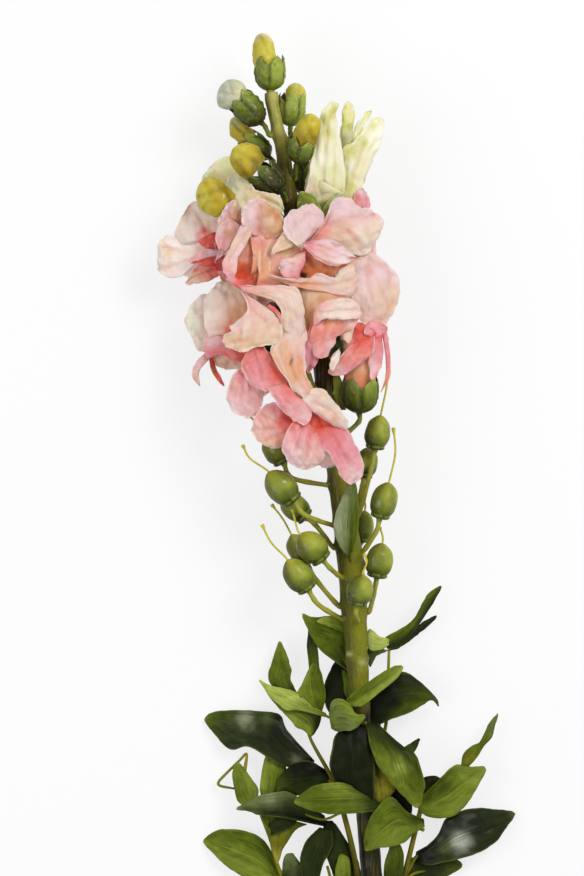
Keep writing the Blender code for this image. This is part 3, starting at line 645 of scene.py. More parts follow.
def ribbon(line, half):
    # The outline of a strip that tapers to its last point: the line moved half the width to each side.
    line = np.asarray(line, float)
    side = unit(np.cross(unit(np.gradient(line, axis=0)), up)) * half
    side = side * (1 - 0.35 * np.linspace(0, 1, len(line)) ** 3)[:, None]
    return np.vstack([(line - side)[:-1], line[-1], (line + side)[-2::-1]])


def bladeGrid(outline, tones, seed, look):
    # Straight lines between the two sides of an outline whose middle point is the tip, moved along their
    # normal by a bulge 1 - u^2, the edge's waves, the folds and dents. u is -1 and 1 at the sides, t is 0 at
    # the root and 1 at the tip.
    rows, columns = look["rows"] + 1, look["columns"] + 1
    edge = curveThrough(withHeights(outline, look["heights"]), edgePoints)
    inward = unit(np.cross(unit(np.gradient(edge, axis=0)), look["face"]))
    fade = np.sin(math.pi * np.linspace(0, 1, edgePoints))[:, None] ** 0.5
    wander = ripple(edge, 4.2, seed) + 0.5 * ripple(edge, 1.9, seed + 1)
    edge = edge + inward * fade * look["wobble"] * wander[:, None]
    t = 0.985 * (1 - (1 - np.linspace(0, 1, rows)) ** 1.5)
    left, right = bothSides(edge, t)
    u = np.broadcast_to(np.linspace(-1, 1, columns)[None], (rows, columns))
    t = np.broadcast_to(t[:, None], (rows, columns))
    spine = (left + right) / 2
    half = (right - left) / 2
    width = np.linalg.norm(half, axis=-1)[:, None]
    heading = unit(np.gradient(spine, axis=0))
    normal = unit(np.cross(heading, half))
    face = np.array(look["face"])
    normal = unit(normal * (np.sign(np.median(normal @ face)) or 1.0) + 0.35 * face)
    grid = spine[:, None] + half[:, None] * u[..., None]
    steps = np.linalg.norm(np.diff(spine, axis=0), axis=-1)
    along = np.concatenate([[0.0], np.cumsum(steps)])[:, None]
    margin = np.maximum(np.abs(u), t)
    wave = np.sin(2 * math.pi * look["waves"] * (0.5 + 0.5 * u * (1 - 0.8 * t)) + 2.2 * t)
    lift = look["bulge"] * width * (1 - u**2) * (0.4 + 0.6 * np.sin(math.pi * t))
    lift = lift + look["ruffle"] * smoothStep((margin - 0.4) / 0.6) * wave
    lift = lift + look["frill"] * smoothStep((margin - 0.55) / 0.45) * ripple(grid, 3.4, seed + 6)
    lift = lift + look["roll"] * width * u**2
    pleats = np.sin(look["pleats"] * math.pi * u + seed) * (1 - 0.6 * t)
    lift = lift + look["pleat"] * pleats * smoothStep(t * 4)
    lift = lift + look["wrinkle"] * (0.7 * ripple(grid, 6.5, seed + 2) + 0.35 * ripple(grid, 2.6, seed + 3))
    fold = ripple(grid, 10.0, seed + 7)
    lift = lift + look["crumple"] * np.abs(fold)
    names = tones if isinstance(tones, tuple) else (tones, tones)
    share = t + 0.05 * ripple(grid, 5.0, seed + 4)
    tone = blend(tonesAt(names[0], share), tonesAt(names[1], share), smoothStep(0.5 + 0.75 * u))
    # Painted shade along the sharp folds.
    tone = blend(tone, tone * look["shade"], 0.3 * look["crumple"] * bell(fold / 0.12))
    for x, y, radius, name, strength in look["stains"]:
        away = np.hypot(grid[..., 0] - x, grid[..., 1] - y) / radius
        tone = blend(tone, linear(name), strength * bell(away * (1 + 0.25 * ripple(grid, 3.5, seed + 5))))
    # A pressed-in fold is darkened with painted shade, and a raised one drawn towards the edge colour as a
    # painted highlight.
    for x0, y0, x1, y1, thick, depth in look["creases"]:
        fold = bell(fromLine(grid, x0, y0, x1, y1) / thick)
        lift = lift - depth * fold
        share = (0.5 * min(abs(depth), 1.0) * fold)[..., None]
        tone = tone + share * (tone * look["shade"] - tone if depth > 0 else linear(look["edge"][0]) - tone)
    # The thin margin drawn towards the edge colour: on petals a painted rim highlight.
    name, strength = look["edge"]
    tone = blend(tone, linear(name), strength * smoothStep((margin - 0.89) / 0.09))
    grid = grid + normal[:, None] * lift[..., None]
    grid[..., 2] = np.maximum(grid[..., 2], look["thickness"] / 2 + 0.12)
    if look["gloss"] is None:
        place = np.stack(np.broadcast_arrays(u * width, along, 3.7 * seed), axis=-1)
    else:
        place = np.stack(np.broadcast_arrays(u, t, 1.0 * look["gloss"]), axis=-1)
    return grid, tone, place


def collar(grid, mouth, along, radius):
    # Rows from a tube's rim to a petal's root: every column is a cubic that leaves along the tube.
    root, count = grid[0], 7
    heading = unit(grid[2] - grid[0])
    middle = root[len(root) // 2] - mouth
    middle = unit(middle - np.dot(middle, along) * along)
    side = np.cross(along, middle)
    chord = root[-1] - root[0]
    sweep = np.clip(np.linalg.norm(chord) / (2 * radius), 0.3, 1.1) * (np.sign(np.dot(chord, side)) or 1.0)
    angle = sweep * np.linspace(-1, 1, len(root))
    rim = mouth + radius * (np.cos(angle)[:, None] * middle + np.sin(angle)[:, None] * side)
    reach = 0.35 * np.linalg.norm(root - rim, axis=-1, keepdims=True)
    s = np.linspace(0, 1, count, endpoint=False)[:, None, None]
    first, second = rim + along * reach, root - heading * reach
    return (1 - s) ** 3 * rim + 3 * (1 - s) ** 2 * s * first + 3 * (1 - s) * s**2 * second + s**3 * root


def addBlade(surface, blade, seed, socket=None, **defaults):
    # One blade, with a collar down to the rim of the tube when it has one.
    outline, tones, changes = blade
    look = {**bladeLook, **defaults, **changes}
    grid, tone, place = bladeGrid(outline, tones, seed, look)
    if socket and look["rooted"]:
        rows = collar(grid, *socket)
        rows[..., 2] = np.maximum(rows[..., 2], 0.3)
        grid = np.concatenate([rows, grid])
        tone = np.concatenate([np.repeat(tone[:1], len(rows), axis=0), tone])
        place = np.concatenate([np.repeat(place[:1], len(rows), axis=0), place])
    surface.sheet(grid, tone, place, look["thickness"])


# Cups and tubes have a wall and are closed at the foot
cupLook = dict(
    rows=22, sides=80, sepals=5, wall=0.4, crease=0.16, creaseWidth=0.2, toothFrom=0.66, leftShade=0.5,
    profile=((0, 0.34), (0.12, 0.76), (0.35, 1), (0.7, 1.03), (1, 0.9)),
)


def addCup(surface, base, along, length, radius, tones, turn=0.0, bumps=0.12, toothFrom=None):
    # Sepals round an axis: radius x the profile x (1 - a bell at each gap), longest along their middles.
    look = cupLook
    angle, circle = ringAcross(along, look["sides"])
    x = np.abs(((angle + turn) * look["sepals"] / (2 * math.pi)) % 1 * 2 - 1)[None]
    low = toothFrom or look["toothFrom"]
    reach = low + (1 - low) * (1 - x) ** 0.75
    reach = reach * (1 + 0.06 * np.sin(2 * angle + 3 * turn))[None]
    t = np.linspace(0, 1, look["rows"])[:, None]
    share = t * reach
    profile = curveThrough(look["profile"], 60)
    gap = bell((1 - x) / look["creaseWidth"]) * smoothStep(t * 2.5)
    reachOut = radius * np.interp(share, profile[:, 0], profile[:, 1]) * (1 - look["crease"] * gap)
    outer = base + along * (share * length)[..., None] + circle[None] * reachOut[..., None]
    seed = int(abs(base[0] * 7 + base[1] * 3))
    uneven = bumps * (ripple(outer, 3.0, seed) + ripple(outer, 1.5, seed + 1))
    outer = outer + circle[None] * uneven[..., None]
    inside = np.maximum(reachOut - look["wall"] * (1 - 0.6 * t), 0.15)
    inner = base + along * (share * length * 0.97 + look["wall"])[..., None]
    inner = inner + circle[None] * inside[..., None]
    tone = tonesAt(tones, share + 0.06 * ripple(outer, 3.5, seed + 2))
    # Painted shade in the gaps between the sepals.
    tone = blend(tone, linear("sepalDark"), 0.7 * gap)
    tone = blend(tone, linear("sepalPale"), 0.3 * smoothStep((t - 0.92) / 0.08))
    # Painted shade on the side that looks left.
    tone = paintedShadeLeft(tone, np.broadcast_to(circle[None], outer.shape), look["leftShade"])
    # The inside takes the outside's colours at 0.6: painted shade in the cup.
    grid, tone = np.concatenate([outer, inner[::-1]]), np.concatenate([tone, tone[::-1] * 0.6])
    surface.solid(grid, tone, (0.5, 0.0, 0.2))


tubeLook = dict(rings=22, sides=60, wall=0.34, lobes=5, lobeDepth=0.05, narrowest=0.2)


def addTube(surface, start, mouth, profile, outsideTones, insideTones):
    # A turned tube: outside from its foot to its mouth, then back inside to its closed floor.
    look = tubeLook
    wall = look["wall"]
    along = unit(mouth - start)
    angle, circle = ringAcross(along, look["sides"])
    shape = curveThrough(profile, look["rings"])
    lobed = 1 + look["lobeDepth"] * np.cos(look["lobes"] * angle)[None] * shape[:, :1]
    outer = (start + (mouth - start) * shape[:, :1])[:, None]
    outer = outer + circle[None] * (shape[:, 1:] * lobed)[..., None]
    inside = np.maximum(shape[:, 1:] * lobed - wall, look["narrowest"])
    inner = (start + along * wall + (mouth - start - along * wall) * shape[:, :1])[:, None]
    inner = inner + circle[None] * inside[..., None]
    tone = np.concatenate([tonesAt(outsideTones, shape[:, 0]), tonesAt(insideTones, shape[::-1, 0])])
    grid = np.concatenate([outer, inner[::-1]])
    row = np.arange(len(grid))[:, None]
    place = np.stack(np.broadcast_arrays(angle[None] * 4.0, row * 0.8, 5.0), axis=-1)
    surface.solid(grid, tone[:, None], place)


threadLook = dict(rings=28, sides=10)


def addThread(surface, points, radius, tones, knob):
    # A thin round thread: the radius x (1 + the knob at its end) + half the radius more at its root.
    rings, sides = threadLook["rings"], threadLook["sides"]
    route = curveThrough(points, rings)
    t = np.linspace(0, 1, rings)
    girth = radius * (1 + knob * smoothStep((t - 0.9) / 0.06)) + 0.5 * radius * (1 - smoothStep(t / 0.15))
    surface.solid(tubeGrid(route, girth, sides), tonesAt(tones, t)[:, None])


corollaLook = dict(
    start=2.3, profile=((0, 1.2), (0.4, 2.8)), throatAt=0.78, throat=4.6, rim=0.94,
    outside="shell tan orange peach", inside="wine flame flame coral",
    creamOutside="cream straw straw cream", creamInside="budTan straw straw cream",
    stamens=((-0.4, 0.3), (0.4, 0.3), (-0.25, -0.3), (0.25, -0.3)),  # their places across the throat
    stamenFrom=7, stamenTo=1.6, spread=4,  # how deep they start and end, and how far apart, in mm
    stamen=(0.28, "shell shell straw", 1.6), pistil=(0.3, "lime lime sand", 0.8),  # radius, colours, knob
)


def makeCorolla(name, spec, finish):
    # A tube from a turned profile, petals grown from its rim or standing in its mouth, stamens and a pistil.
    look = corollaLook
    base, mouth = np.array(spec["base"]), np.array(spec["mouth"])
    along = unit(mouth - base)
    radius = spec["radius"]
    cream = spec.get("cream", False)
    surface = Surface()
    throat = (look["throatAt"], spec.get("throat", look["throat"]))
    profile = spec.get("profile") or (*look["profile"], throat, (1.0, radius))
    outside = spec.get("outside", look["creamOutside" if cream else "outside"])
    inside = look["creamInside" if cream else "inside"]
    addTube(surface, base + along * look["start"], mouth, profile, outside, inside)
    for number, petal in enumerate(spec["petals"]):
        addBlade(surface, petal, seedOf(name) + 11 * number, (mouth, along, radius * look["rim"]))
    if not cream:
        first, second = acrossAxis(along)
        deep, tops = mouth - along * look["stamenFrom"], mouth - along * look["stamenTo"]
        middle = (deep + tops) / 2
        for x, y in look["stamens"]:
            way = (first * x + second * y) * look["spread"]
            addThread(surface, (deep + way * 0.4, middle + way, tops + way), *look["stamen"])
        addThread(surface, (deep, middle, tops + along * 0.8), *look["pistil"])
    surface.build(f"corolla_{name}_petals", finish, [f"corolla_{name}"], "cream" if cream else "petal")


calyxLook = dict(
    stalk="stemMid sepalLight sepal", tones="sepal sepal sepalLight",
    darkTones="sepalBrown sepal sepalLight", radius=3.9, length=7.4,
)
sepalLook = dict(
    rows=20, columns=12, thickness=0.5, gloss=0.2, ruffle=0.2, wobble=0.1, edge=("sepalPale", 0.35),
)


def makeCalyx(name, spec, finish):
    # A stalk, a cup of five sepals round the corolla's foot, and any sepals that stand on their own.
    look = calyxLook
    base, mouth = np.array(spec["base"]), np.array(spec["mouth"])
    along = unit(mouth - base)
    surface = Surface()
    addPedicel(surface, pedicelRoute(spec["foot"], base, along), look["stalk"])
    radius, length = spec.get("cup", (look["radius"], look["length"]))
    addCup(surface, base, along, length, radius, look["darkTones" if spec.get("dark") else "tones"],
           turn=spec.get("turn", 0.3), toothFrom=spec.get("teeth", 0.5))
    for number, sepal in enumerate(spec.get("sepals", ())):
        addBlade(surface, sepal, 31 + number, **sepalLook)
    surface.build(f"calyx_{name}_sepals", finish, [f"calyx_{name}"], "calyx")


lumpLook = dict(rows=46, sides=44, deep=0.85, dent=0.26, leftShade=0.25)


def addLump(surface, outline, tones, seed, creases):
    # A plump body between the two sides of an outline: ellipses across it, dented, pressed in at creases.
    look = lumpLook
    edge = curveThrough(outline, edgePoints)
    t = 0.5 - 0.5 * np.cos(math.pi * np.linspace(0.03, 0.97, look["rows"]))
    left, right = bothSides(edge, t)
    spine, half = (left + right) / 2, (right - left) / 2
    normal = unit(np.cross(unit(np.gradient(spine, axis=0)), half))
    normal = normal * (np.sign(np.median(normal[:, 2])) or 1.0)
    thick = np.linalg.norm(half, axis=-1) * look["deep"]
    turn = np.linspace(0, 2 * math.pi, look["sides"], endpoint=False)
    grid = spine[:, None] + half[:, None] * np.cos(turn)[None, :, None]
    grid = grid + normal[:, None] * (thick[:, None] * np.sin(turn)[None])[..., None]
    out = unit(grid - spine[:, None])
    dents = look["dent"] * (0.8 * ripple(grid, 6.0, seed) + 0.5 * ripple(grid, 2.8, seed + 1))
    lift = dents * smoothStep(thick / 3)[:, None]
    tone = tonesAt(tones, t[:, None] + 0.18 * ripple(grid, 6.0, seed + 2))
    # Painted shade in each crease, and on the side that looks left.
    for x0, y0, x1, y1, width, depth in creases:
        fold = bell(fromLine(grid, x0, y0, x1, y1) / width) * (out[..., 2] > 0)
        lift = lift - depth * fold
        tone = tone * (1 - 0.35 * min(abs(depth), 1.0) * fold)[..., None]
    surface.solid(grid + out * lift[..., None], paintedShadeLeft(tone, out, look["leftShade"]))


# Buds: foot on the stem (y, turn); the calyx's base, tip and radius with its colours;
# then the cap's outline, whose middle point is its tip, with its colours and creases.
goldCap, greyCap = "budDeep budGold budYellow budYellow", "budPale budGrey leafSilver"
greenCup, darkCup = "sepal sepalLight sepalLight", "sepalBrown sepal sepalLight"
brownCup = "sepalDark sepalBrown sepal"
buds = {}
buds["bud_top"] = dict(
    foot=(136, 90), base=(-19.8, 139.6, 31), tip=(-20.2, 153.4, 31), radius=6.1, tones=greenCup, turn=0.9,
    outline=((-25.8, 148, 31), (-27, 153.4, 31), (-26.6, 158.4, 31), (-25, 161.6, 31), (-22.6, 162.4, 31),
    (-20, 161.2, 31), (-18.2, 157.4, 31), (-17.6, 152.6, 31), (-17.4, 148, 31)),
    cap="budYellow budYellow paleCream", creases=((-24, 161, -20.6, 154, 0.7, 0.5),),
)
buds["bud_upper_left"] = dict(
    foot=(122.5, 165), base=(-23.4, 126.6, 32), tip=(-33.6, 137.4, 33), radius=5.7, tones=darkCup, turn=0.2,
    outline=((-28.4, 137.4, 33), (-31, 142.4, 33), (-35.4, 143.8, 33), (-39.2, 141.8, 33),
    (-41.2, 137.4, 33), (-40.6, 133.2, 33), (-37.4, 131.6, 33), (-34.6, 132, 33), (-32.8, 132.4, 33)),
    cap=greyCap, creases=((-39, 138.6, -33, 137, 0.8, 0.5), (-36, 142.4, -35, 137.6, 0.7, 0.4)),
)
buds["bud_upper_right"] = dict(
    foot=(119.5, 355), base=(-11.8, 125.8, 28), tip=(-11.2, 139, 27), radius=5.6, tones=greenCup, turn=1.26,
    outline=((-13.8, 134, 27), (-13.6, 139.4, 27), (-11.8, 142.2, 27), (-9.2, 142.9, 27), (-6.4, 141, 27),
    (-5.4, 137, 27), (-6.6, 132, 27)), cap="budYellow budYellow budPale",
    creases=((-8.6, 142, -8, 134, 0.7, 0.5),),
)
buds["bud_left"] = dict(
    foot=(110, 205), base=(-20.6, 113.4, 24.6), tip=(-30.2, 121.6, 22.6), radius=5, tones=darkCup, turn=0.5,
    outline=((-25.2, 124, 22), (-29, 126.6, 22), (-32.6, 129.8, 22), (-35.6, 129.2, 22), (-36.4, 125.4, 22),
    (-35.6, 121.8, 22), (-31, 118.4, 22)), cap="budGold budYellow budGrey",
    creases=((-34.8, 127, -29.6, 122.4, 0.8, 0.6),),
)
buds["bud_right"] = dict(
    foot=(104, 35), base=(-9.2, 110.4, 38.4), tip=(-6.8, 120.2, 41.6), radius=5.4, tones=darkCup, turn=0.1,
    outline=((-11.2, 117, 40), (-10.6, 122.4, 42), (-8.2, 126.8, 43), (-4.4, 129, 44), (-0.8, 127.6, 43.5),
    (0.2, 122.8, 42.5), (-2.2, 117, 40)), cap=goldCap, creases=((-6.6, 127.4, -3.2, 119.4, 0.8, 0.5),),
)
buds["bud_front"] = dict(
    foot=(96, 110), base=(-15.4, 98.6, 38.4), tip=(-26, 108.4, 40), radius=6.2, tones=brownCup, turn=0.7,
    outline=((-21.8, 112, 40), (-25, 116.4, 41), (-29.6, 117.9, 41.4), (-34.2, 116, 41.4),
    (-35.9, 111.6, 41), (-33.6, 106.4, 40.6), (-28.6, 102.8, 40)), cap=goldCap,
    creases=((-33, 114.6, -25, 109, 1, 0.6), (-35, 110, -30, 105.4, 0.8, 0.4)),
)
buds["bud_lower_left"] = dict(
    foot=(86, 150), base=(-20, 92, 33.4), tip=(-34.6, 95.6, 36.6), radius=4.4, tones=brownCup, turn=0.4,
    outline=((-33.4, 97, 39), (-38.2, 101.8, 40), (-42.4, 104.2, 40), (-46.8, 103, 40), (-49.4, 97.4, 40),
    (-47.4, 91.6, 40), (-42.6, 88.8, 40), (-38, 88.8, 40), (-33.4, 92.6, 39)), cap=goldCap,
    creases=((-49, 95.6, -38, 100.4, 1, 0.8), (-46.6, 90.4, -43.4, 97.4, 0.8, 0.5),
    (-38.6, 103.6, -34.6, 93, 0.9, 0.6)),
)
buds["bud_behind"] = dict(
    foot=(96, 330), base=(-6.4, 98.6, 25), tip=(-6.4, 111, 24.4), radius=4.6, tones=darkCup, turn=0.9,
    outline=((-9, 107, 25), (-8.4, 111.6, 24.6), (-6.2, 113.4, 24.6), (-4.2, 111.8, 24.6), (-3.6, 107, 25)),
    cap="sepalDark sepal sepalLight", creases=(),
)


def makeBud(name, bud, greenSkin, waxSkin):
    # A closed cap of folded petals held by a cup of sepals on a short stalk.
    base, tip = np.array(bud["base"]), np.array(bud["tip"])
    along, length = unit(tip - base), np.linalg.norm(tip - base)
    green, wax = Surface(), Surface()
    if name == "bud_top":
        route = curveThrough([base - along * 2.0, base, base + along * 1.5], 8)
        addPedicel(green, route, "stemTop sepal", 1.6)
    else:
        addPedicel(green, pedicelRoute(bud["foot"], base, along), "stemTop sepal " + bud["tones"].split()[0])
    addCup(green, base, along, length, bud["radius"], bud["tones"], turn=bud["turn"], bumps=0.2)
    addLump(wax, bud["outline"], bud["cap"], seedOf(name), bud["creases"])
    green.build(f"{name}_calyx", greenSkin, [name], "bud")
    wax.build(f"{name}_cap", waxSkin, (), "bud")


capsuleLook = dict(
    rows=40, sides=36, seam=0.06, leftShade=0.66, cup=0.17, dents=(0.14, 0.05),
    profile=((0, 0.3), (0.08, 0.66), (0.25, 0.93), (0.5, 1), (0.74, 0.87), (0.88, 0.6), (0.96, 0.34),
             (1, 0.16)),
    tones="capsuleDark capsule capsuleLight capsuleLight capsuleTip", cupTones="sepalDark sepal capsule",
    stalk="stemMid capsuleTip capsuleLight", styleRadius=0.42, styleTones="style style style",
)
# Capsules: foot on the stem, base, top, radius, and the style's points beyond the top
capsules = {
    "capsule_right_1": ((-30, 5), (21.8, -3.4, 31), (24.2, 9.8, 32), 5.2, ((26.8, 24, 34), (26.6, 41, 34))),
    "capsule_right_2": ((-27, 340), (17.6, -15, 23.5), (19.8, -3, 22), 4.6, ((20.6, 1, 22), (21.2, 4, 21))),
    "capsule_left_1": ((-17, 165), (-14.6, -9, 33), (-20.8, 2, 33), 5.4, ((-25, 6.4, 33), (-28.6, 10, 33))),
    "capsule_left_2": ((-33, 150), (-10.6, -24.4, 37), (-20.6, -12.8, 38), 6, ((-28, -7.2, 39),
        (-30.8, -2, 40))),
    "capsule_left_3": ((-42, 180), (-5.4, -31, 27), (-15, -22.6, 26), 5.2, ((-18.6, -20.4, 25),
        (-21.4, -19, 24))),
    "capsule_right_3": ((-45, 30), (23.8, -31, 32), (27.4, -17, 33), 5.3, ((30, -5, 33), (29.2, 5, 33))),
    "capsule_left_4": ((-66, 175), (-5.4, -49, 24.6), (-11.4, -38, 24), 4.8, ((-15, -31.6, 21),
        (-19.4, -26, 19))),
    "capsule_left_5": ((-54, 130), (1, -47.6, 35.4), (-7.8, -37.4, 37.4), 6, ((-10, -32, 36),
        (-11, -27.6, 33.4))),
    "capsule_left_6": ((-71, 150), (-4.8, -59.6, 34), (-13, -47.8, 36), 5.7, ((-19.6, -40.6, 37),
        (-23.2, -33.6, 37))),
    "capsule_right_4": ((-52, 325), (16.6, -41, 14.6), (18.2, -28.6, 14.6), 4.4, ((18.4, -26, 14.6),
        (18, -24, 15))),
    "capsule_right_5": ((-69, 15), (22.8, -55, 24.5), (25, -41.4, 25), 5.5, ((25, -38, 25), (24, -35, 25))),
    "capsule_front": ((-72, 80), (14.8, -65.6, 33.5), (17, -53.6, 35), 5.3, ((18.6, -48.6, 34),
        (17.6, -45.6, 33))),
}


def makeCapsule(name, capsule, finish):
    # A stalk, a turned pod with two shallow seams, a short cup of sepals, and the dried style and its knob.
    foot, base, top, radius, style = capsule
    look = capsuleLook
    base, top = np.array(base), np.array(top)
    along, length = unit(top - base), np.linalg.norm(top - base)
    seed = seedOf(name)
    surface = Surface()
    addPedicel(surface, pedicelRoute(foot, base, along), look["stalk"])
    profile = curveThrough(look["profile"], look["rows"])
    turn = np.linspace(0, 2 * math.pi, look["sides"], endpoint=False)[None]
    seams = np.abs(np.cos(turn + 0.3 * seed)) ** 14
    radii = profile[:, 1:] * radius * (1 - look["seam"] * seams * smoothStep(profile[:, :1] * 2))
    centres = base + along * length * profile[:, :1]
    grid = tubeGrid(centres, radii, look["sides"])
    out = unit(grid - centres[:, None])
    broad, fine = look["dents"]
    grid = grid + (broad * ripple(grid, 5.0, seed) + fine * ripple(grid, 2.0, seed + 1))[..., None] * out
    tone = tonesAt(look["tones"], profile[:, :1] + 0.1 * ripple(grid, 6.0, seed + 2))
    tone = blend(tone, linear("capsuleDark"), 0.3 * seams * np.ones_like(radii))
    # Painted shade on the pod's left side.
    surface.solid(grid, paintedShadeLeft(tone, out, look["leftShade"]))
    addCup(surface, base - along * 0.5, along, length * look["cup"], radius * 0.72, look["cupTones"],
           turn=0.7 * seed, bumps=0.05, toothFrom=0.6)
    route = (top - along * 0.8, top + along * 1.5, *style)
    addThread(surface, route, look["styleRadius"], look["styleTones"], 0.9)
    surface.build(f"{name}_pod", finish, [name], "capsule")


# Each petal: its outline with the tip in the middle, colours from root to tip (or those of its left and
# right sides), and changes to bladeLook. The last ones of a floret turn down behind it.
loose, plain = dict(rooted=False), dict(edge=("petalEdge", 0))
inner = dict(rooted=False, frill=0.1, ruffle=0.1, crumple=0.3, wobble=0.1, bulge=0.05, **plain)
stripLook = dict(loose, rows=26, columns=8, bulge=0.26, ruffle=0.15, wobble=0.15, pleat=0)


def hanging(root, tip, half, tones, face):
    # A petal turned down behind its floret: straight from root to tip, its sides apart by the half width x a
    # share that is full at a third of the way.
    root, tip, half = np.array([root, tip, half], float)
    share, width = np.array([[0, 0.35, 0.75], [0.7, 1.0, 0.85]])[..., None]
    spine = root + (tip - root) * share
    return np.vstack([spine - half * width, tip, (spine + half * width)[::-1]]), tones, dict(face=face)


def strip(line, half, tones, **changes):
    # A narrow band along a line.
    return (ribbon(line, half), tones, {**stripLook, **changes})


florets = {}
florets["upper_left"] = dict(
    foot=(62, 178), base=(-18, 66.5, 27), mouth=(-41, 72.5, 27.5), radius=5, outside="tan peach coral wine",
    petals=(
    (((-41, 81, 31), (-39, 89.6, 31), (-42.6, 95, 30), (-47.6, 96, 29.5), (-52.4, 94, 29), (-56, 87.6, 28),
      (-58, 82.4, 27), (-54.4, 78, 27), (-47, 79.4, 28)), "rose ivory ivory ivory ivory", dict(ruffle=0.8,
      stains=((-46, 83, 1.9, "coral", 0.95), (-46, 84, 1.1, "wine", 0.9), (-48.4, 81.4, 1.4, "pink", 0.8)),
      creases=((-46, 86, -50, 92, 0.9, 0.6),))),
    # The sand stain is painted shade.
    (((-45, 81.4, 29), (-52, 81, 27), (-60, 82, 26), (-64, 79.4, 27), (-63.4, 73.6, 24), (-65, 68, 23),
      (-58, 65, 22), (-52, 69, 24), (-44, 75, 28)), "rose petalEdge petalEdge ivory ivory", dict(ruffle=0.9,
      waves=2.4, stains=((-61, 75, 2, "sand", 0.8), (-63, 69, 2, "shell", 0.6)),
      creases=((-62, 77, -54, 75, 1.2, 0.9), (-61, 69, -53, 72, 1, 0.6)))),
    (((-39, 75.6, 31), (-45, 76, 32), (-49.6, 74, 31), (-53, 71, 29), (-49, 71.4, 31), (-44, 73, 31),
      (-39, 73.6, 30)), "rose lilac rose lilac", dict(loose, ruffle=0.2, rows=24, columns=12)),
    (((-39, 74, 30), (-46, 73, 30), (-52, 71, 28.5), (-46.4, 70, 29), (-41, 69.6, 28.5)),
      "wine coral salmon", dict(ruffle=0.2, rows=20, columns=10, rooted=False, **plain)),
    (((-39.6, 71.4, 28), (-46, 71, 28.5), (-51.4, 68, 27), (-53.4, 63, 23), (-49, 63, 24), (-43, 64.4, 25),
      (-40, 66, 26)), "coral salmon shell shell", dict(stains=((-50, 69, 1.8, "wine", 0.75),
      (-43, 70, 2.6, "wine", 0.6)), creases=((-42, 68, -50, 65, 0.8, 0.6),))),
    (((-39, 75, 36), (-40.6, 86, 42), (-38, 91.6, 45.6), (-34.4, 94.6, 46.6), (-32, 91.6, 45),
      (-30.4, 85, 42), (-31, 76.6, 38)), ("rose blush lilac lilac", "rose peach tan sand"), dict(waves=2.2,
      stains=((-36, 84, 1.8, "rose", 0.8),), creases=((-36, 80, -36, 92, 0.8, 0.7),))),
    (((-40, 75.4, 40), (-41.4, 80.6, 42.6), (-39.6, 85.4, 45), (-35.4, 87, 45.6), (-31.4, 84.4, 44.6),
      (-33, 79.6, 43), (-37, 75, 40)), ("rose lilac blush", "rose rose blush"), dict(loose, rows=26,
      columns=20, edge=("petalEdge", 0.6), stains=((-36, 82, 2.4, "tan", 0.9),
      (-34.4, 84.6, 1.6, "rose", 0.6)), creases=((-38, 77, -37, 85, 0.8, 0.7),))),
    (((-38.6, 83.6, 31.6), (-43.6, 82.4, 31), (-48.4, 79.4, 30.6), (-45, 76.4, 30.6), (-38.6, 75, 31)),
      "wine coral coral", inner),
    (((-38.6, 72, 29.6), (-41, 70, 29.4), (-40.4, 66, 29), (-38.4, 62.6, 28.6), (-35, 61, 28),
      (-35.4, 66, 28.6), (-36, 71, 29)), "coral rose salmon blush", inner),
    hanging((-40, 72, 22), (-59, 71, 1), (0.8, 5.5, -1.2), "salmon blush lilac ivory", (-0.6, 0, 0.5)),
    hanging((-37, 73, 19), (-33, 74, 1), (-1, 6, -4), "rose blush lilac", (0.4, 0, -0.6)),
    ),
)
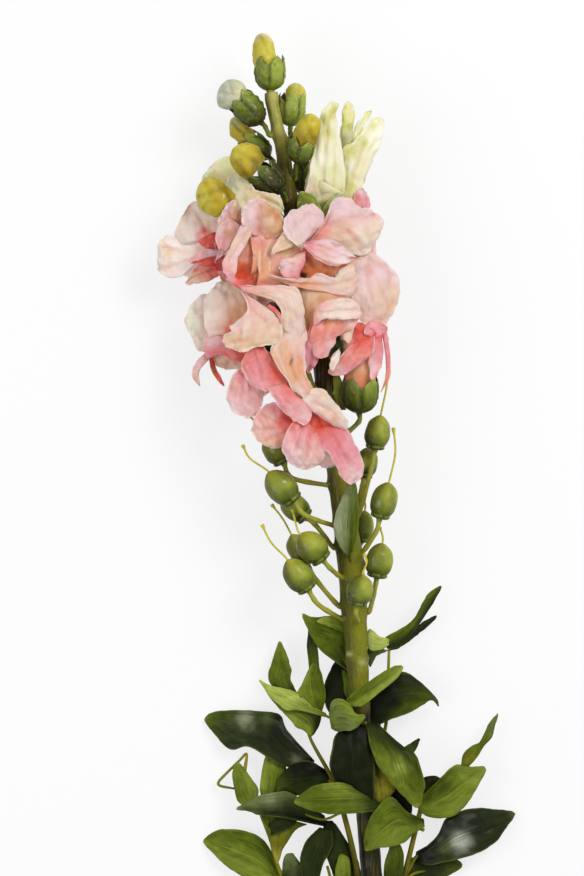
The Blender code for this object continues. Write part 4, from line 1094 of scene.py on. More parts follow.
florets["centre_left"] = dict(
    foot=(64, 140), base=(-14.5, 70, 38), mouth=(-28, 70.6, 42), radius=5,
    petals=(
    # The hood: its tan right side and the tan and sand stains are painted shade.
    (((-29.6, 82, 47), (-31, 87.6, 49), (-30.4, 92, 49.5), (-26.6, 95, 50), (-22, 94, 50), (-17.6, 91, 50),
      (-14, 86.6, 50), (-14, 82.4, 49), (-19.4, 79, 47.4)), ("rose lilac lilac lilac", "peach tan tan sand"),
      dict(loose, bulge=0.14, stains=((-21, 90, 3.8, "tan", 0.8), (-19, 85, 2.8, "sand", 0.8),
      (-26, 81, 2.6, "rose", 0.6), (-16, 77, 2.4, "ivory", 0.8)), creases=((-24, 92, -24, 80, 1.1, 1.1),
      (-28, 90, -27, 82, 1.2, -0.5), (-20, 81, -17, 88, 1.2, 0.4)))),
    (((-13.6, 82.6, 50), (-15.6, 81, 50.4), (-19, 75, 50), (-19, 73, 50), (-17, 74, 49.6), (-9.6, 76.6, 49),
      (-8.6, 80, 50)), ("ivory shell ivory", "shell sand shell"), dict(loose, frill=0.2, rows=26, columns=16,
      stains=((-13, 79, 2.4, "sand", 0.8),))),
    (((-24.4, 89.4, 45.4), (-29.6, 87, 47.6), (-33, 81, 49), (-38, 71.4, 48), (-38, 66.4, 47.4),
      (-35, 63, 47), (-33.6, 66, 47), (-32, 72.7, 47.4), (-29.6, 76.4, 48), (-27.4, 80.6, 48.6),
      (-23.6, 85.6, 45.6)), ("lilac lilac shell rose pink", "rose shell lilac blush pink"), dict(loose,
      ruffle=0.4, columns=16, edge=("ivory", 0.45), stains=((-36, 69, 2, "rose", 0.5),
      (-34, 77, 2.4, "shell", 0.8), (-30.4, 80.6, 1.6, "blush", 0.6)),
      creases=((-29, 82, -36, 71, 0.7, 0.5),))),
    (((-28.6, 81.6, 46.4), (-32.4, 75, 45), (-36.6, 67, 44), (-33, 61.4, 43.6), (-26.4, 60, 43),
      (-23.4, 68, 43), (-23.6, 81, 44)), "peach peach orange flame coral", dict(inner, bulge=-0.1,
      stains=((-30, 66, 4.4, "flame", 0.9), (-27, 63, 2.6, "wine", 0.5), (-28, 77, 2.4, "salmon", 0.6),
      (-29, 73, 2.2, "orange", 0.5)))),
    (((-28.6, 84.4, 47), (-26.6, 73.6, 46), (-24.4, 66, 46), (-25, 59, 45.4), (-16, 58.6, 45),
      (-6.4, 60, 44.4), (-5.6, 68, 44.6), (-6, 74, 45.6), (-7.4, 82, 47)),
      ("salmon peach peach salmon salmon", "tan peach salmon peach salmon"), dict(inner, rows=48, columns=48,
      creases=((-28, 76, -26, 74, 0.4, -0.6), (-24, 74, -24, 66, 0.4, -0.6), (-23, 80, -20, 79, 0.42, -0.6),
      (-20, 78, -22, 73, 0.4, -0.6), (-21, 73, -20, 70, 0.4, -0.6), (-20, 70, -20, 67, 0.42, -0.6),
      (-23, 78, -23, 66, 0.8, 0.6)), stains=((-24, 79, 2.8, "rose", 0.7), (-13, 74, 1.5, "lime", 0.75),
      (-9, 76, 2, "tan", 0.9), (-7, 74.6, 1.5, "coral", 0.9), (-17, 71, 2.6, "rose", 0.6),
      (-17, 65, 3, "peach", 0.8), (-6.6, 65, 1.5, "sepalDark", 0.95)))),
    strip(((-36.8, 64.6, 46.6), (-31, 60.9, 46.8), (-25.6, 59.4, 46.8), (-20.6, 59.8, 46.4)), 1.5,
      "pink coral pink rose", edge=("coral", 0.4)),
    (((-24, 64, 36), (-29, 60, 30), (-35, 60, 26), (-38, 66, 24), (-36, 74, 26), (-30, 78, 34),
      (-26, 78, 38)), "salmon rose blush lilac", {}),
    ),
)
florets["upper_right"] = dict(
    foot=(62, 80), base=(-4.5, 67.5, 38), mouth=(-3.6, 75.6, 44), radius=4.8,
    petals=(
    (((-10, 77, 51), (-13.4, 80, 52), (-14.6, 85, 52), (-12, 90, 52.5), (-8, 91.6, 52.5), (-4.4, 92.4, 52),
      (-0.4, 91, 52), (1.6, 87.6, 51), (0.6, 84.6, 51), (-3, 81, 51), (-6.4, 78, 51)),
      "ivory lilac lilac lilac", dict(bulge=0.16, frill=0.3, pleat=0.03, stains=((-3, 82, 2.2, "rose", 0.8),
      (-7, 88, 3, "blush", 0.6)), creases=((-8, 80, -11, 86, 0.8, 0.4),))),
    (((-3.4, 79.6, 48), (1.4, 86, 48), (5, 95, 47), (11.5, 95.6, 47), (15.6, 92, 46), (20, 91, 44.6),
      (25, 87, 43), (24, 82, 43), (21.4, 77.4, 44), (18, 73, 45), (12, 73.4, 47), (4.4, 77, 49),
      (-0.6, 77.4, 49)), ("salmon lilac lilac blush", "peach shell ivory ivory"), dict(ruffle=0.9, waves=3.4,
      bulge=0.16, stains=((8, 84, 3.6, "tan", 0.6), (1, 81, 2.4, "salmon", 0.8), (18, 82, 3.4, "sand", 0.7),
      (8, 92, 3.4, "lilac", 0.9)), creases=((11, 82, 16, 75, 1, 1), (13, 83, 18, 78, 1, -0.6),
      (10, 87, 21, 88, 1.3, 0.6)))),
    (((16, 78.6, 42), (15.6, 73.6, 42), (18.4, 71.6, 41.6), (22, 72.6, 41.4), (22, 79, 42)),
      "blush lilac lilac", dict(loose, rows=20, columns=12)),
    (((12.4, 90, 42), (13, 95, 42), (15, 99, 41), (17, 100, 41), (19, 97, 41), (20, 93.6, 41),
      (19, 88.4, 42)), "rose pink lilac blush", dict(loose, stains=((14.4, 96, 1.4, "coral", 0.8),))),
    (((-7, 77.6, 52), (-1, 78.6, 53.4), (5, 79, 53.6), (10.6, 75, 53), (13.4, 72, 50), (10, 69.6, 52),
      (6, 68.4, 52.6), (0.4, 70, 53), (-6.4, 75.6, 52.5)),
      ("pink lilac lilac ivory", "rose blush ivory rose"), dict(loose, ruffle=0.9, waves=4.4, bulge=0.16,
      edge=("rose", 0.4), stains=((-4, 77, 2, "pink", 0.9), (6, 73, 3, "lilac", 0.8)),
      creases=((-3, 77, 6, 74, 0.8, 0.6),))),
    (((-7, 76, 49), (-7.4, 69, 47), (-6, 64.6, 46), (1, 63.6, 45.5), (8, 63.4, 45), (11.6, 68.6, 46),
      (4, 73.4, 50)), "coral orange orange peach", dict(rooted=False, bulge=0.16, **plain,
      stains=((-6, 74, 2.2, "coral", 0.9), (6, 66, 3, "peach", 0.8), (-2, 70, 3, "tan", 0.5),
      (-6, 65, 1.3, "sepalDark", 0.95)), creases=((-4, 72, -1, 66, 0.9, 0.7),))),
    (((-6, 74.4, 51), (-8.7, 73, 51.6), (-12, 71.6, 51.4), (-16, 70.6, 50), (-16, 67.4, 49.6),
      (-14.6, 65, 49.4), (-9.4, 63.4, 49.4), (-7.6, 66, 50), (-6, 71, 50.6)),
      ("rose blush lilac blush", "pink pink rose rose"), dict(loose, frill=0.4, bulge=0.05,
      edge=("rose", 0.3), stains=((-12, 69, 2.6, "lilac", 0.5),), creases=((-9, 72, -12, 66, 0.8, 0.4),))),
    hanging((-3, 72.5, 38), (2, 89, 32), (8.8, -0.8, 0), "salmon blush lilac blush", (0, 0.4, -0.9)),
    ),
)
florets["right"] = dict(
    foot=(56, 0), base=(3.6, 60.5, 30), mouth=(11.6, 64.6, 35), radius=5,
    petals=(
    (((7, 68.4, 46), (6, 63.6, 46), (12.6, 56, 46.5), (16, 47, 44), (20, 42.6, 42), (27, 47, 38),
      (31, 58, 36), (30, 66.4, 37), (22, 73.6, 42)), "blush lilac shell blush blush", dict(ruffle=0.9,
      waves=2.6, bulge=0.16, stains=((19, 67, 1.9, "orange", 0.6), (12, 65, 2.8, "lilac", 0.6),
      (17, 57, 3.4, "lilac", 0.5), (27, 52, 3, "sand", 0.5)), creases=((18, 65, 20, 55, 1, 0.9),
      (22, 63, 27, 52, 1.2, 0.7), (26, 70, 28, 60, 1, 0.5)))),
    (((13, 71, 47), (8, 67.4, 48), (5.6, 64.4, 48.4), (-1.6, 66, 49.4), (-5.4, 63.6, 49.4), (-20, 65, 47.4),
      (-12.4, 61, 48), (-6.4, 60, 48.4), (8, 57, 47), (12, 56.4, 46), (14.6, 62, 46.4)),
      ("shell ivory blush blush", "blush blush peach blush"), dict(loose, frill=0.7, waves=4, columns=20,
      edge=("rose", 0.3), stains=((-3, 61, 2.2, "peach", 0.6), (3, 63, 2.6, "lilac", 0.6),
      (8, 62, 2.6, "sand", 0.5)), creases=((-12, 62, 3, 61, 0.7, 0.6), (3, 61, 12, 63, 0.7, 0.5)))),
    hanging((11, 66.5, 24), (24, 52, 1), (6, 6.2, -2.5), "salmon blush lilac ivory", (0.5, 0, -0.5)),
    (((10, 70, 36), (12, 76, 36), (16, 80, 34), (21, 78, 34), (20, 70, 36)), "coral peach blush", {}),
    ),
)
florets["centre"] = dict(
    foot=(46, 120), base=(-8.6, 49, 38.5), mouth=(-17.6, 51, 42.6), radius=4.4,
    sepals=(
    (((-14, 41, 41), (-18, 41.6, 42), (-24.6, 39.4, 42), (-22, 31.6, 41), (-16.4, 32, 41)),
      "sepalBrown sepalDark sepalDark", {}),
    ),
    petals=(
    (((-32.4, 61, 49), (-26, 60.6, 50), (-20, 61, 50.4), (-10, 60, 50.6), (-7.4, 56, 50.6), (-6, 45, 50.6),
      (-9.6, 38.4, 49.6), (-15.4, 41.6, 51), (-15, 45.6, 51.6), (-16, 52, 51.4), (-18.6, 55, 51),
      (-22, 56, 51), (-31, 59, 50)), ("rose blush shell blush", "rose shell shell ivory"), dict(loose,
      rows=48, waves=5, bulge=0.14, stains=((-11, 55, 3, "ivory", 0.6), (-9, 45, 2.6, "lilac", 0.6),
      (-24, 59, 2.4, "blush", 0.6)), creases=((-29, 59, -21, 57, 0.6, 0.5), (-14, 56, -12, 47, 0.9, 0.5),
      (-17, 57, -11, 58, 1, -0.4)))),
    (((-31.4, 58.6, 50.6), (-29, 54, 51), (-29.4, 50, 51), (-35.6, 45, 50), (-35, 43, 50), (-38.6, 41, 49),
      (-38, 38, 49), (-32.6, 35, 50), (-28.6, 35, 51), (-25.6, 36.6, 51.6), (-18, 38, 52), (-15, 41.4, 52),
      (-15, 46, 51.6), (-18, 49.6, 51), (-22, 52.6, 50.6)),
      ("rose blush sand shell", "blush shell sand ivory"), dict(loose, rows=48, columns=28, waves=5,
      frill=0.7, bulge=0.1, stains=((-31, 39, 2, "peach", 0.6), (-24, 45, 3.6, "shell", 0.6),
      (-22, 49, 2.6, "blush", 0.5), (-27, 41, 3, "shell", 0.5), (-33, 45, 1.8, "lilac", 0.7),
      (-29, 55, 2, "rose", 0.5)), creases=((-30, 56, -29, 50, 0.8, -0.7), (-29, 50, -30, 40, 0.9, -0.6),
      (-27, 51, -22, 47, 0.8, 0.7), (-22, 47, -19, 40, 0.8, 0.5), (-31, 47, -32, 39, 0.8, 0.6),
      (-26, 46, -27, 38, 0.9, 0.4)))),
    # The row of small dark stains is a painted shadow in a slit.
    (((-14.6, 44.6, 50), (-18.6, 38.6, 51.5), (-19.6, 35.4, 51.5), (-19, 32.4, 52), (-12.4, 22, 52.4),
      (-9.6, 19, 53), (-6, 17, 53), (-2.6, 19.4, 53), (-4.4, 22.6, 52.4), (-5.6, 26, 52), (-6, 36.6, 51.5),
      (-5, 40, 51), (-6, 45.4, 50)), ("blush shell peach shell blush", "blush blush peach peach rose"),
      dict(loose, waves=5, bulge=0.12, stains=((-9, 28, 2, "peach", 0.8), (-14, 38, 2.6, "peach", 0.5),
      (-7, 35, 2, "lilac", 0.7), (-7, 21, 1.8, "rose", 0.5), (-11, 32.4, 0.5, "sepalBrown", 0.9),
      (-11.3, 31.5, 0.6, "sepalDark", 0.9), (-11.6, 30.6, 0.6, "sepalDark", 0.9),
      (-12, 29.7, 0.5, "rust", 0.7)), creases=((-16, 37, -15, 30, 0.8, 0.6), (-12, 34, -10, 23, 0.7, 0.8),
      (-9, 36, -8, 26, 0.8, 0.5), (-17, 35, -14, 26, 0.7, -0.5)))),
    (((-14, 54.4, 47), (-20.6, 54, 46.6), (-21, 48.6, 46), (-17, 45.6, 46), (-13.6, 49, 46.6)),
      "sepalDark sepalBrown rust", dict(rooted=False, **plain)),
    strip(((-20.4, 52.8, 49.6), (-18, 51.2, 51.2), (-16, 48.6, 52), (-15.2, 45.4, 52)), 0.8,
      "salmon coral salmon rose", edge=("rose", 0.6)),
    hanging((-12, 51.5, 36), (-30, 50, 26), (0, 8.5, 0), "salmon blush shell ivory", (-0.4, 0, -0.9)),
    ),
)
florets["lower_left"] = dict(
    foot=(40, 180), base=(-14, 43.5, 27), mouth=(-34.6, 43.6, 29), radius=5,
    petals=(
    (((-42, 58.6, 25), (-48, 58, 24), (-52.4, 53, 23), (-54, 47, 22), (-51, 41, 22), (-48.4, 35.6, 23),
      (-42.4, 36.4, 25)), "blush ivory paleCream ivory", dict(stains=((-49, 46, 3, "paleCream", 0.7),))),
    (((-42.6, 38, 30), (-46, 46, 32), (-46.4, 54.4, 33), (-43, 60, 34), (-39, 63.4, 35), (-28.4, 62, 36),
      (-25, 55.6, 36), (-30, 47, 35), (-36, 39, 32)), ("blush ivory ivory ivory", "coral peach sand shell"),
      dict(bulge=0.16, stains=((-33, 50, 2.8, "tan", 0.75), (-40, 55, 3.4, "blush", 0.6),
      (-35, 44, 2.6, "coral", 0.8)), creases=((-44, 44, -38, 45, 0.7, 0.5), (-44, 47, -39, 48, 0.7, 0.4),
      (-37, 59, -35, 48, 0.9, 0.7)))),
    (((-26.6, 37.4, 37), (-33.6, 38, 36), (-39, 41.4, 34), (-45, 40.4, 32), (-46, 36, 31), (-44.6, 33, 31),
      (-39, 34, 33), (-33.6, 31, 35), (-27.4, 31.6, 36.5)),
      ("salmon salmon rose lilac", "coral coral pink rose"), dict(loose, bulge=0.2, edge=("wine", 0.3),
      creases=((-30, 35, -42, 38, 0.8, 0.7), (-36, 39, -44, 35, 0.7, 0.4)),
      stains=((-43, 39, 2.4, "lilac", 0.8), (-34, 35, 2.4, "coral", 0.6)))),
    strip(((-44.2, 34.4, 30), (-48.2, 30.2, 29.6), (-49.8, 26, 29), (-48, 21.6, 27)), 1.6,
      "rose lilac blush blush"),
    strip(((-43.6, 34, 30.4), (-42.6, 28.6, 29.6), (-40.4, 24.6, 28.6), (-38.4, 21.8, 27)), 1.1,
      "wine rust coral salmon"),
    (((-43, 35.4, 30), (-42, 30, 28), (-37, 28.4, 28), (-30.6, 29, 28), (-29.4, 34, 30)), "sand shell ivory",
      dict(loose, stains=((-37, 31, 1.2, "rust", 0.7),))),
    (((-38, 36, 22), (-46, 36, 12), (-50, 40, 2), (-50, 48, 1), (-47, 54, 8), (-38, 53, 22)),
      "salmon blush lilac", {}),
    hanging((-36, 45, 21), (-51, 45, 1), (0.8, 8, 0.8), "salmon blush lilac ivory", (-0.6, 0, 0.5)),
    ),
)
florets["centre_right"] = dict(
    foot=(38, 75), base=(1.4, 41, 36), mouth=(2.4, 45.6, 44), radius=4.8,
    sepals=(
    (((4.4, 31.6, 44), (2.6, 35.6, 45), (7, 42, 45.6), (9.4, 36.6, 45), (9, 32.4, 44)),
      "sepalBrown sepalDark sepalDark", {}),
    ),
    petals=(
    (((-6, 40, 47), (-7.6, 48, 47.5), (-9.6, 58, 46.5), (-4, 62.6, 47), (4, 61.6, 46.4), (10.6, 58.4, 46),
      (10.4, 54, 46.6), (6, 50.6, 48), (-0.6, 43, 48)), ("tan tan sand sand", "salmon tan peach shell"),
      dict(bulge=0.12, frill=0.3, edge=("shell", 0.3), stains=((-4, 56, 3.4, "sand", 0.5),
      (1, 55, 2.4, "tan", 0.6)), creases=((-5, 44, -3, 57, 1, 0.4),))),
    (((-2.6, 45, 51), (-2, 51.4, 52.6), (3, 55, 53.4), (12.6, 55.4, 52.6), (16, 48.6, 51), (10, 47.4, 52.6),
      (4, 47.4, 53), (1, 47.4, 52.6), (-1, 45.4, 51.6)),
      ("rose blush ivory blush", "salmon ivory ivory blush"), dict(loose, frill=0.7, bulge=0.16,
      edge=("salmon", 0.5), stains=((1, 53, 2, "rose", 0.7), (9, 51, 2.4, "ivory", 0.7)),
      creases=((0, 50, 12, 51, 0.8, 0.6), (2, 54, 11, 54, 0.7, 0.5)))),
    (((-2, 47.6, 49.6), (-4, 42, 50.6), (-4, 37, 50), (-2, 33, 50), (1, 32.6, 49.4), (5, 36.6, 50),
      (7, 41, 50), (12.6, 43.4, 49), (15.4, 48, 49)), "salmon salmon rose rose", dict(loose, bulge=0.15,
      edge=("blush", 0.3), stains=((4, 46, 2.6, "peach", 0.8), (12, 46, 2.4, "ivory", 0.7),
      (9, 45, 1.8, "tan", 0.6)), creases=((2, 46, 0, 36, 0.9, 0.7), (6, 46, 5, 40, 0.8, 0.5)))),
    (((-2, 48, 49.4), (-6, 41, 49), (-7.4, 37, 49), (-6, 31, 48), (-5, 26.6, 46), (-2, 30, 47),
      (0, 33.4, 48), (-1.4, 38, 50), (-1, 44, 50)), "coral pink pink rose", dict(loose, rows=28, columns=12,
      edge=("coral", 0.35))),
    (((8, 46.4, 48), (8.4, 42, 48), (9.4, 39.4, 47.6), (11.6, 38.6, 47), (12.6, 41, 47), (13, 44, 47.4),
      (14.4, 48, 48)), "sand shell sand", dict(loose, rows=24, columns=14)),
    (((7.4, 36, 48), (4, 32.6, 48), (4, 27, 47.6), (6.6, 30, 47.6), (8, 34.4, 48)), "ivory ivory sand",
      dict(loose, rows=18, columns=12)),
    hanging((0, 46, 39), (12, 37, 36), (2.5, 7.5, 0.8), "salmon rose blush lilac", (0.4, -0.4, -0.8)),
    ),
)
florets["lower_right"] = dict(
    foot=(2, 20), base=(15.6, 11, 33), mouth=(16.6, 37, 38), radius=5.8, dark=True, cup=(7.2, 15), turn=0.95,
    teeth=0.74, outside="orange orange peach salmon", profile=((0, 2), (0.14, 4.4), (0.4, 6), (1, 5.8)),
    sepals=(
    (((6, 12, 30), (4.6, 18.6, 31), (5, 24, 31), (6.4, 27.4, 31), (8.6, 23.6, 31), (9.6, 18, 31),
      (10.4, 12, 31)), "sepal sepalLight capsuleLight", {}),
    ),
    petals=(
    (((8, 35, 43), (9, 40.4, 44), (13, 44, 44.4), (16, 46.4, 44.6), (22, 42.4, 44.6), (21, 38.6, 44.4),
      (13, 34.4, 43)), ("tan salmon coral salmon", "coral coral coral pink"), dict(bulge=0.02, **plain,
      stains=((15, 42, 3.4, "coral", 0.9), (10, 38, 2, "tan", 0.8)))),
    (((17, 42, 45), (18, 45.4, 45), (21, 47.6, 45), (26, 45, 44), (25, 41.6, 44), (22, 40, 45),
      (19, 41, 45)), ("rose pink rose pink", "coral pink pink coral"), dict(loose, rows=22, columns=14,
      ruffle=0.2, crumple=0, edge=("rose", 0.4))),
    (((11.6, 37.6, 46), (7, 32, 46), (3, 27, 45), (7, 25.6, 45), (13, 28, 45), (20.6, 34.4, 46),
      (21.6, 41, 46)), "coral salmon pink rose", dict(loose, ruffle=0.4, bulge=0.18,
      stains=((12, 33, 3, "salmon", 0.7), (7, 28, 2.2, "blush", 0.7)),
      creases=((15, 38, 9, 29, 0.8, 0.6),))),
    (((19.6, 39.6, 45), (19, 32, 44.6), (19.4, 25.6, 43.6), (21.4, 24.6, 43.4), (24, 29, 43.4), (25, 35, 44),
      (24.4, 41.6, 45)), ("pink rose lilac blush", "coral pink rose salmon"), dict(loose, rows=28,
      columns=14, edge=("coral", 0.4))),
    strip(((25, 45, 44), (26.6, 35, 42), (27, 29, 41), (26.4, 24, 40), (24, 19, 38.4)), 1,
      "pink pink salmon peach"),
    hanging((16.5, 32, 33), (16, 46, 21), (7.8, 0, 0), "salmon blush lilac ivory", (0, 0.5, -0.8)),
    ),
)
florets["bottom_left"] = dict(
    foot=(22, 165), base=(-7.6, 27, 35), mouth=(-20.6, 30, 40), radius=5,
    petals=(
    (((-29.4, 30.4, 43), (-34, 26.4, 43), (-36, 22, 42), (-37, 16, 41), (-34, 11, 40), (-29, 9, 40),
      (-24.6, 10.6, 41), (-22.6, 15, 43), (-22, 20, 45), (-22.6, 23, 46), (-24.4, 27, 46)),
      ("salmon rose lilac blush", "salmon rose rose blush"), dict(ruffle=0.45, bulge=0.16,
      stains=((-31, 25, 2, "pink", 0.8), (-35, 21, 2, "tan", 0.5), (-28, 14, 3, "lilac", 0.6)),
      creases=((-30, 27, -32, 14, 0.8, 0.7), (-27, 26, -28, 14, 0.8, 0.6), (-32, 24, -34, 17, 0.8, 0.5)))),
    (((-28, 36.4, 48), (-31, 31, 47), (-31, 27.6, 46), (-27.4, 21.6, 47), (-22, 19.4, 49), (-15.6, 18.4, 50),
      (-12, 20.4, 49), (-14.4, 27, 49), (-18, 33.6, 49), (-21, 35.4, 48.5), (-23, 38, 48)),
      ("salmon salmon pink salmon", "coral coral coral salmon"), dict(ruffle=0.3, bulge=0.18,
      stains=((-18, 28, 3, "coral", 0.8), (-26, 30, 2.6, "pink", 0.7)),
      creases=((-26, 35, -23, 23, 0.8, 0.8), (-29, 31, -26, 25, 0.7, 0.4)))),
    (((-21.6, 21, 50), (-18, 16, 51), (-15.4, 12, 51), (-11, 8, 52), (-6.4, 6, 52), (-3.4, 9, 52),
      (-4, 14, 52), (-7.6, 18.6, 51), (-12.4, 22.4, 50)),
      ("salmon pink rose rose", "coral salmon rose rose"), dict(loose, ruffle=0.3, bulge=0.24,
      stains=((-9, 12, 3, "rose", 0.7), (-6, 9, 2, "lilac", 0.5)), creases=((-16, 18, -9, 11, 0.8, 0.5),))),
    hanging((-20, 30, 33), (-33, 20, 18), (-4.5, 7.2, 0), "salmon rose blush lilac", (-0.4, -0.3, -0.8)),
    ),
)
florets["bottom"] = dict(
    foot=(4, 90), base=(3.2, 6, 35.4), mouth=(0.6, 7, 45), radius=4.8,
    petals=(
    (((-11.6, 9.4, 47), (-15.6, 13, 47), (-18, 15, 46), (-23.6, 12.4, 44), (-26, 8, 43), (-27, 3, 42),
      (-23, -1.4, 42), (-18.4, -3.4, 43), (-14.4, -2, 44), (-12.4, 0.6, 46), (-11.6, 4, 47)),
      ("coral pink rose blush", "coral salmon sand blush"), dict(bulge=0.16,
      stains=((-14, 7, 2.6, "coral", 0.9), (-14, 8.6, 1.4, "wine", 0.7), (-20, 9, 3, "sand", 0.5),
      (-21, 1, 2.8, "rose", 0.7)), creases=((-15, 6, -23, 10, 0.8, 0.7), (-15, 5, -24, 4, 0.8, 0.6),
      (-14, 3, -21, 0, 0.8, 0.5)))),
    (((-10.6, 7.6, 50.5), (-13, 4, 50.5), (-15, -2, 50), (-13.6, -7.4, 49), (-9, -11, 48), (-6, -11.6, 48),
      (-3, -11, 48), (1, -8, 49), (1.4, -3.6, 50.5), (1, 0.4, 51), (-0.4, 3.4, 51.5)),
      ("coral rose lilac blush", "coral rose blush ivory"), dict(ruffle=0.45, bulge=0.25,
      stains=((-7, 3, 2.2, "pink", 0.8), (-10, -4, 3, "lilac", 0.5), (-3, -6, 2.6, "blush", 0.6)),
      creases=((-7, 6, -10, -4, 0.8, 1), (-4, 4, -5, -6, 0.8, 0.9), (-10, 3, -13, -5, 0.7, 0.4)))),
    (((-4.4, 13, 50), (-5, 6, 49), (-4.4, 1.4, 49), (2.4, 1.4, 49), (7, 3.6, 50), (5.5, 8, 51.4),
      (-2, 13.4, 51.4)), "coral coral wine coral", dict(rooted=False, **plain,
      creases=((-2, 12, 2, 3, 0.8, 0.8),), stains=((0, 6, 2.4, "flame", 0.8),))),
    (((-3.4, 3, 51), (-1, -2, 50.4), (3, -5, 50), (6.6, -11.6, 49), (9.4, -16, 48), (13, -17, 47),
      (17, -13, 47), (16.4, -7, 48), (13.6, -1, 50), (10, 5, 51.4), (5.4, 6, 52)),
      "coral pink pink rose lilac", dict(ruffle=0.3, bulge=0.24, stains=((8, -2, 2.4, "coral", 0.45),
      (13, -14, 2.6, "lilac", 0.8)), creases=((5, 2, 11, -10, 0.9, 0.5),))),
    (((-5.4, 13.4, 51), (-7, 17, 52.4), (-3.4, 20, 53.4), (1, 20, 54), (4, 17, 54.6), (8.6, 11.4, 54.6),
      (11, 6, 53.6), (9, 4, 53), (4.6, 6, 52.4)), ("rose ivory shell ivory", "salmon blush ivory ivory"),
      dict(loose, ruffle=0.4, bulge=0.18, stains=((6, 9, 1.8, "tan", 0.7), (-2, 15, 2.4, "rose", 0.5)),
      creases=((-3, 15, 5, 11, 0.8, 0.6),))),
    hanging((1, 4, 39), (5, -11, 35), (7.8, 2.5, 0.8), "salmon rose blush lilac", (0, -0.4, -0.9)),
    ),
)
florets["half_open_right"] = dict(
    foot=(84, 40), base=(-2.6, 88.6, 34), mouth=(4.6, 101, 35), radius=7.6, cream=True, throat=6.4,
    cup=(4.6, 8),
    sepals=(
    (((-9, 91, 40), (-9, 95.6, 41), (-7.6, 98.6, 41), (-3, 97, 42), (1, 90.4, 41), (-2, 89, 40),
      (-6, 89, 39)), "sepal sepal sepalLight", {}),
    (((-1.6, 87.6, 40), (0.4, 91, 41), (3, 94.6, 42), (7, 98, 42), (4.4, 93, 42), (2.4, 90, 41),
      (0.4, 87, 40)), "sepal sepalLight sepalPale", {}),
    ),
    petals=(
    (((-7.6, 94, 37), (-5, 102, 38), (-3.7, 109.3, 39), (-3.4, 117.7, 39), (-2.3, 123, 39), (1.4, 131.4, 39),
      (5, 134, 39), (7.4, 133, 40), (6, 129.3, 40), (6.6, 126, 41), (9, 113.5, 41), (10, 104, 41),
      (9, 94, 40)), ("straw cream cream cream paleCream", "lime cream cream lime cream"), dict(loose,
      waves=2, frill=0.7, bulge=0.1, stains=((-4, 100, 2.6, "blush", 0.7), (2, 99, 3, "blush", 0.5),
      (1, 112, 3, "paleCream", 0.7), (3, 122, 2.2, "lime", 0.8), (-2, 117, 1.6, "lime", 0.6),
      (2, 128, 1.8, "lime", 0.5), (6, 107, 2.4, "lime", 0.5)), creases=((0, 98, 3, 126, 0.9, 0.7),
      (5, 99, 6, 120, 0.8, 0.6), (-3, 101, -1, 122, 0.8, 0.4)))),
    (((6.4, 93.6, 38), (8, 104, 39), (8.6, 113, 39.6), (9.6, 117, 39.6), (13, 118.4, 39.4), (20.6, 128, 37),
      (24.6, 127.6, 36), (25, 123, 36), (24, 118.7, 36), (22, 113.5, 37), (17, 102, 37.5), (15.4, 98, 38),
      (12.6, 93.6, 38)), ("straw lime straw cream cream", "straw cream cream paleCream cream"), dict(loose,
      frill=0.7, bulge=0.1, stains=((11, 101, 2.6, "lime", 0.9), (17, 118, 2.4, "lime", 0.8),
      (21, 124.6, 1.6, "lime", 0.6), (13, 114, 1.8, "lime", 0.6), (12, 109, 2.6, "paleCream", 0.7),
      (21, 120, 2.6, "paleCream", 0.7), (9, 112, 1.4, "sepal", 0.5)), creases=((11, 97, 18, 119, 0.9, 0.8),
      (14, 100, 22, 120, 0.9, 0.5), (10, 100, 11, 114, 0.8, 0.5)))),
    (((7.6, 110, 37), (8, 122, 38), (9, 129, 38), (9.3, 133, 38), (11.4, 134.4, 38), (13.3, 132, 38),
      (14, 129, 38), (13, 124, 38), (13, 110, 37)),
      ("budDeep lime straw cream", "sepal straw cream paleCream"), dict(loose, rows=32, columns=14,
      stains=((9.6, 120, 1.6, "sepal", 0.9), (11.6, 124.6, 0.9, "budDeep", 0.8)))),
    (((11.4, 108, 36.6), (12.4, 119, 37.4), (14.3, 125, 37.6), (17.4, 129.6, 37.4), (20.4, 131, 37),
      (19, 127.6, 36.6), (17, 124.6, 36.6), (17, 118, 36.6), (17, 106, 36.6)),
      ("lime straw cream straw", "lime cream cream lime"), dict(loose, rows=32, columns=14)),
    hanging((3.5, 95, 30.5), (7, 122, 29), (8.8, 1.8, 0.2), "straw lime lime straw", (0, 0, -1)),
    hanging((-3, 98, 30), (2, 124, 30), (3.5, 0, -2), "straw cream cream", (-1, 0, -0.4)),
    hanging((11, 97, 30), (21, 120, 30), (-3.2, 1, -2.2), "straw cream cream", (1, 0, -0.4)),
    ),
)
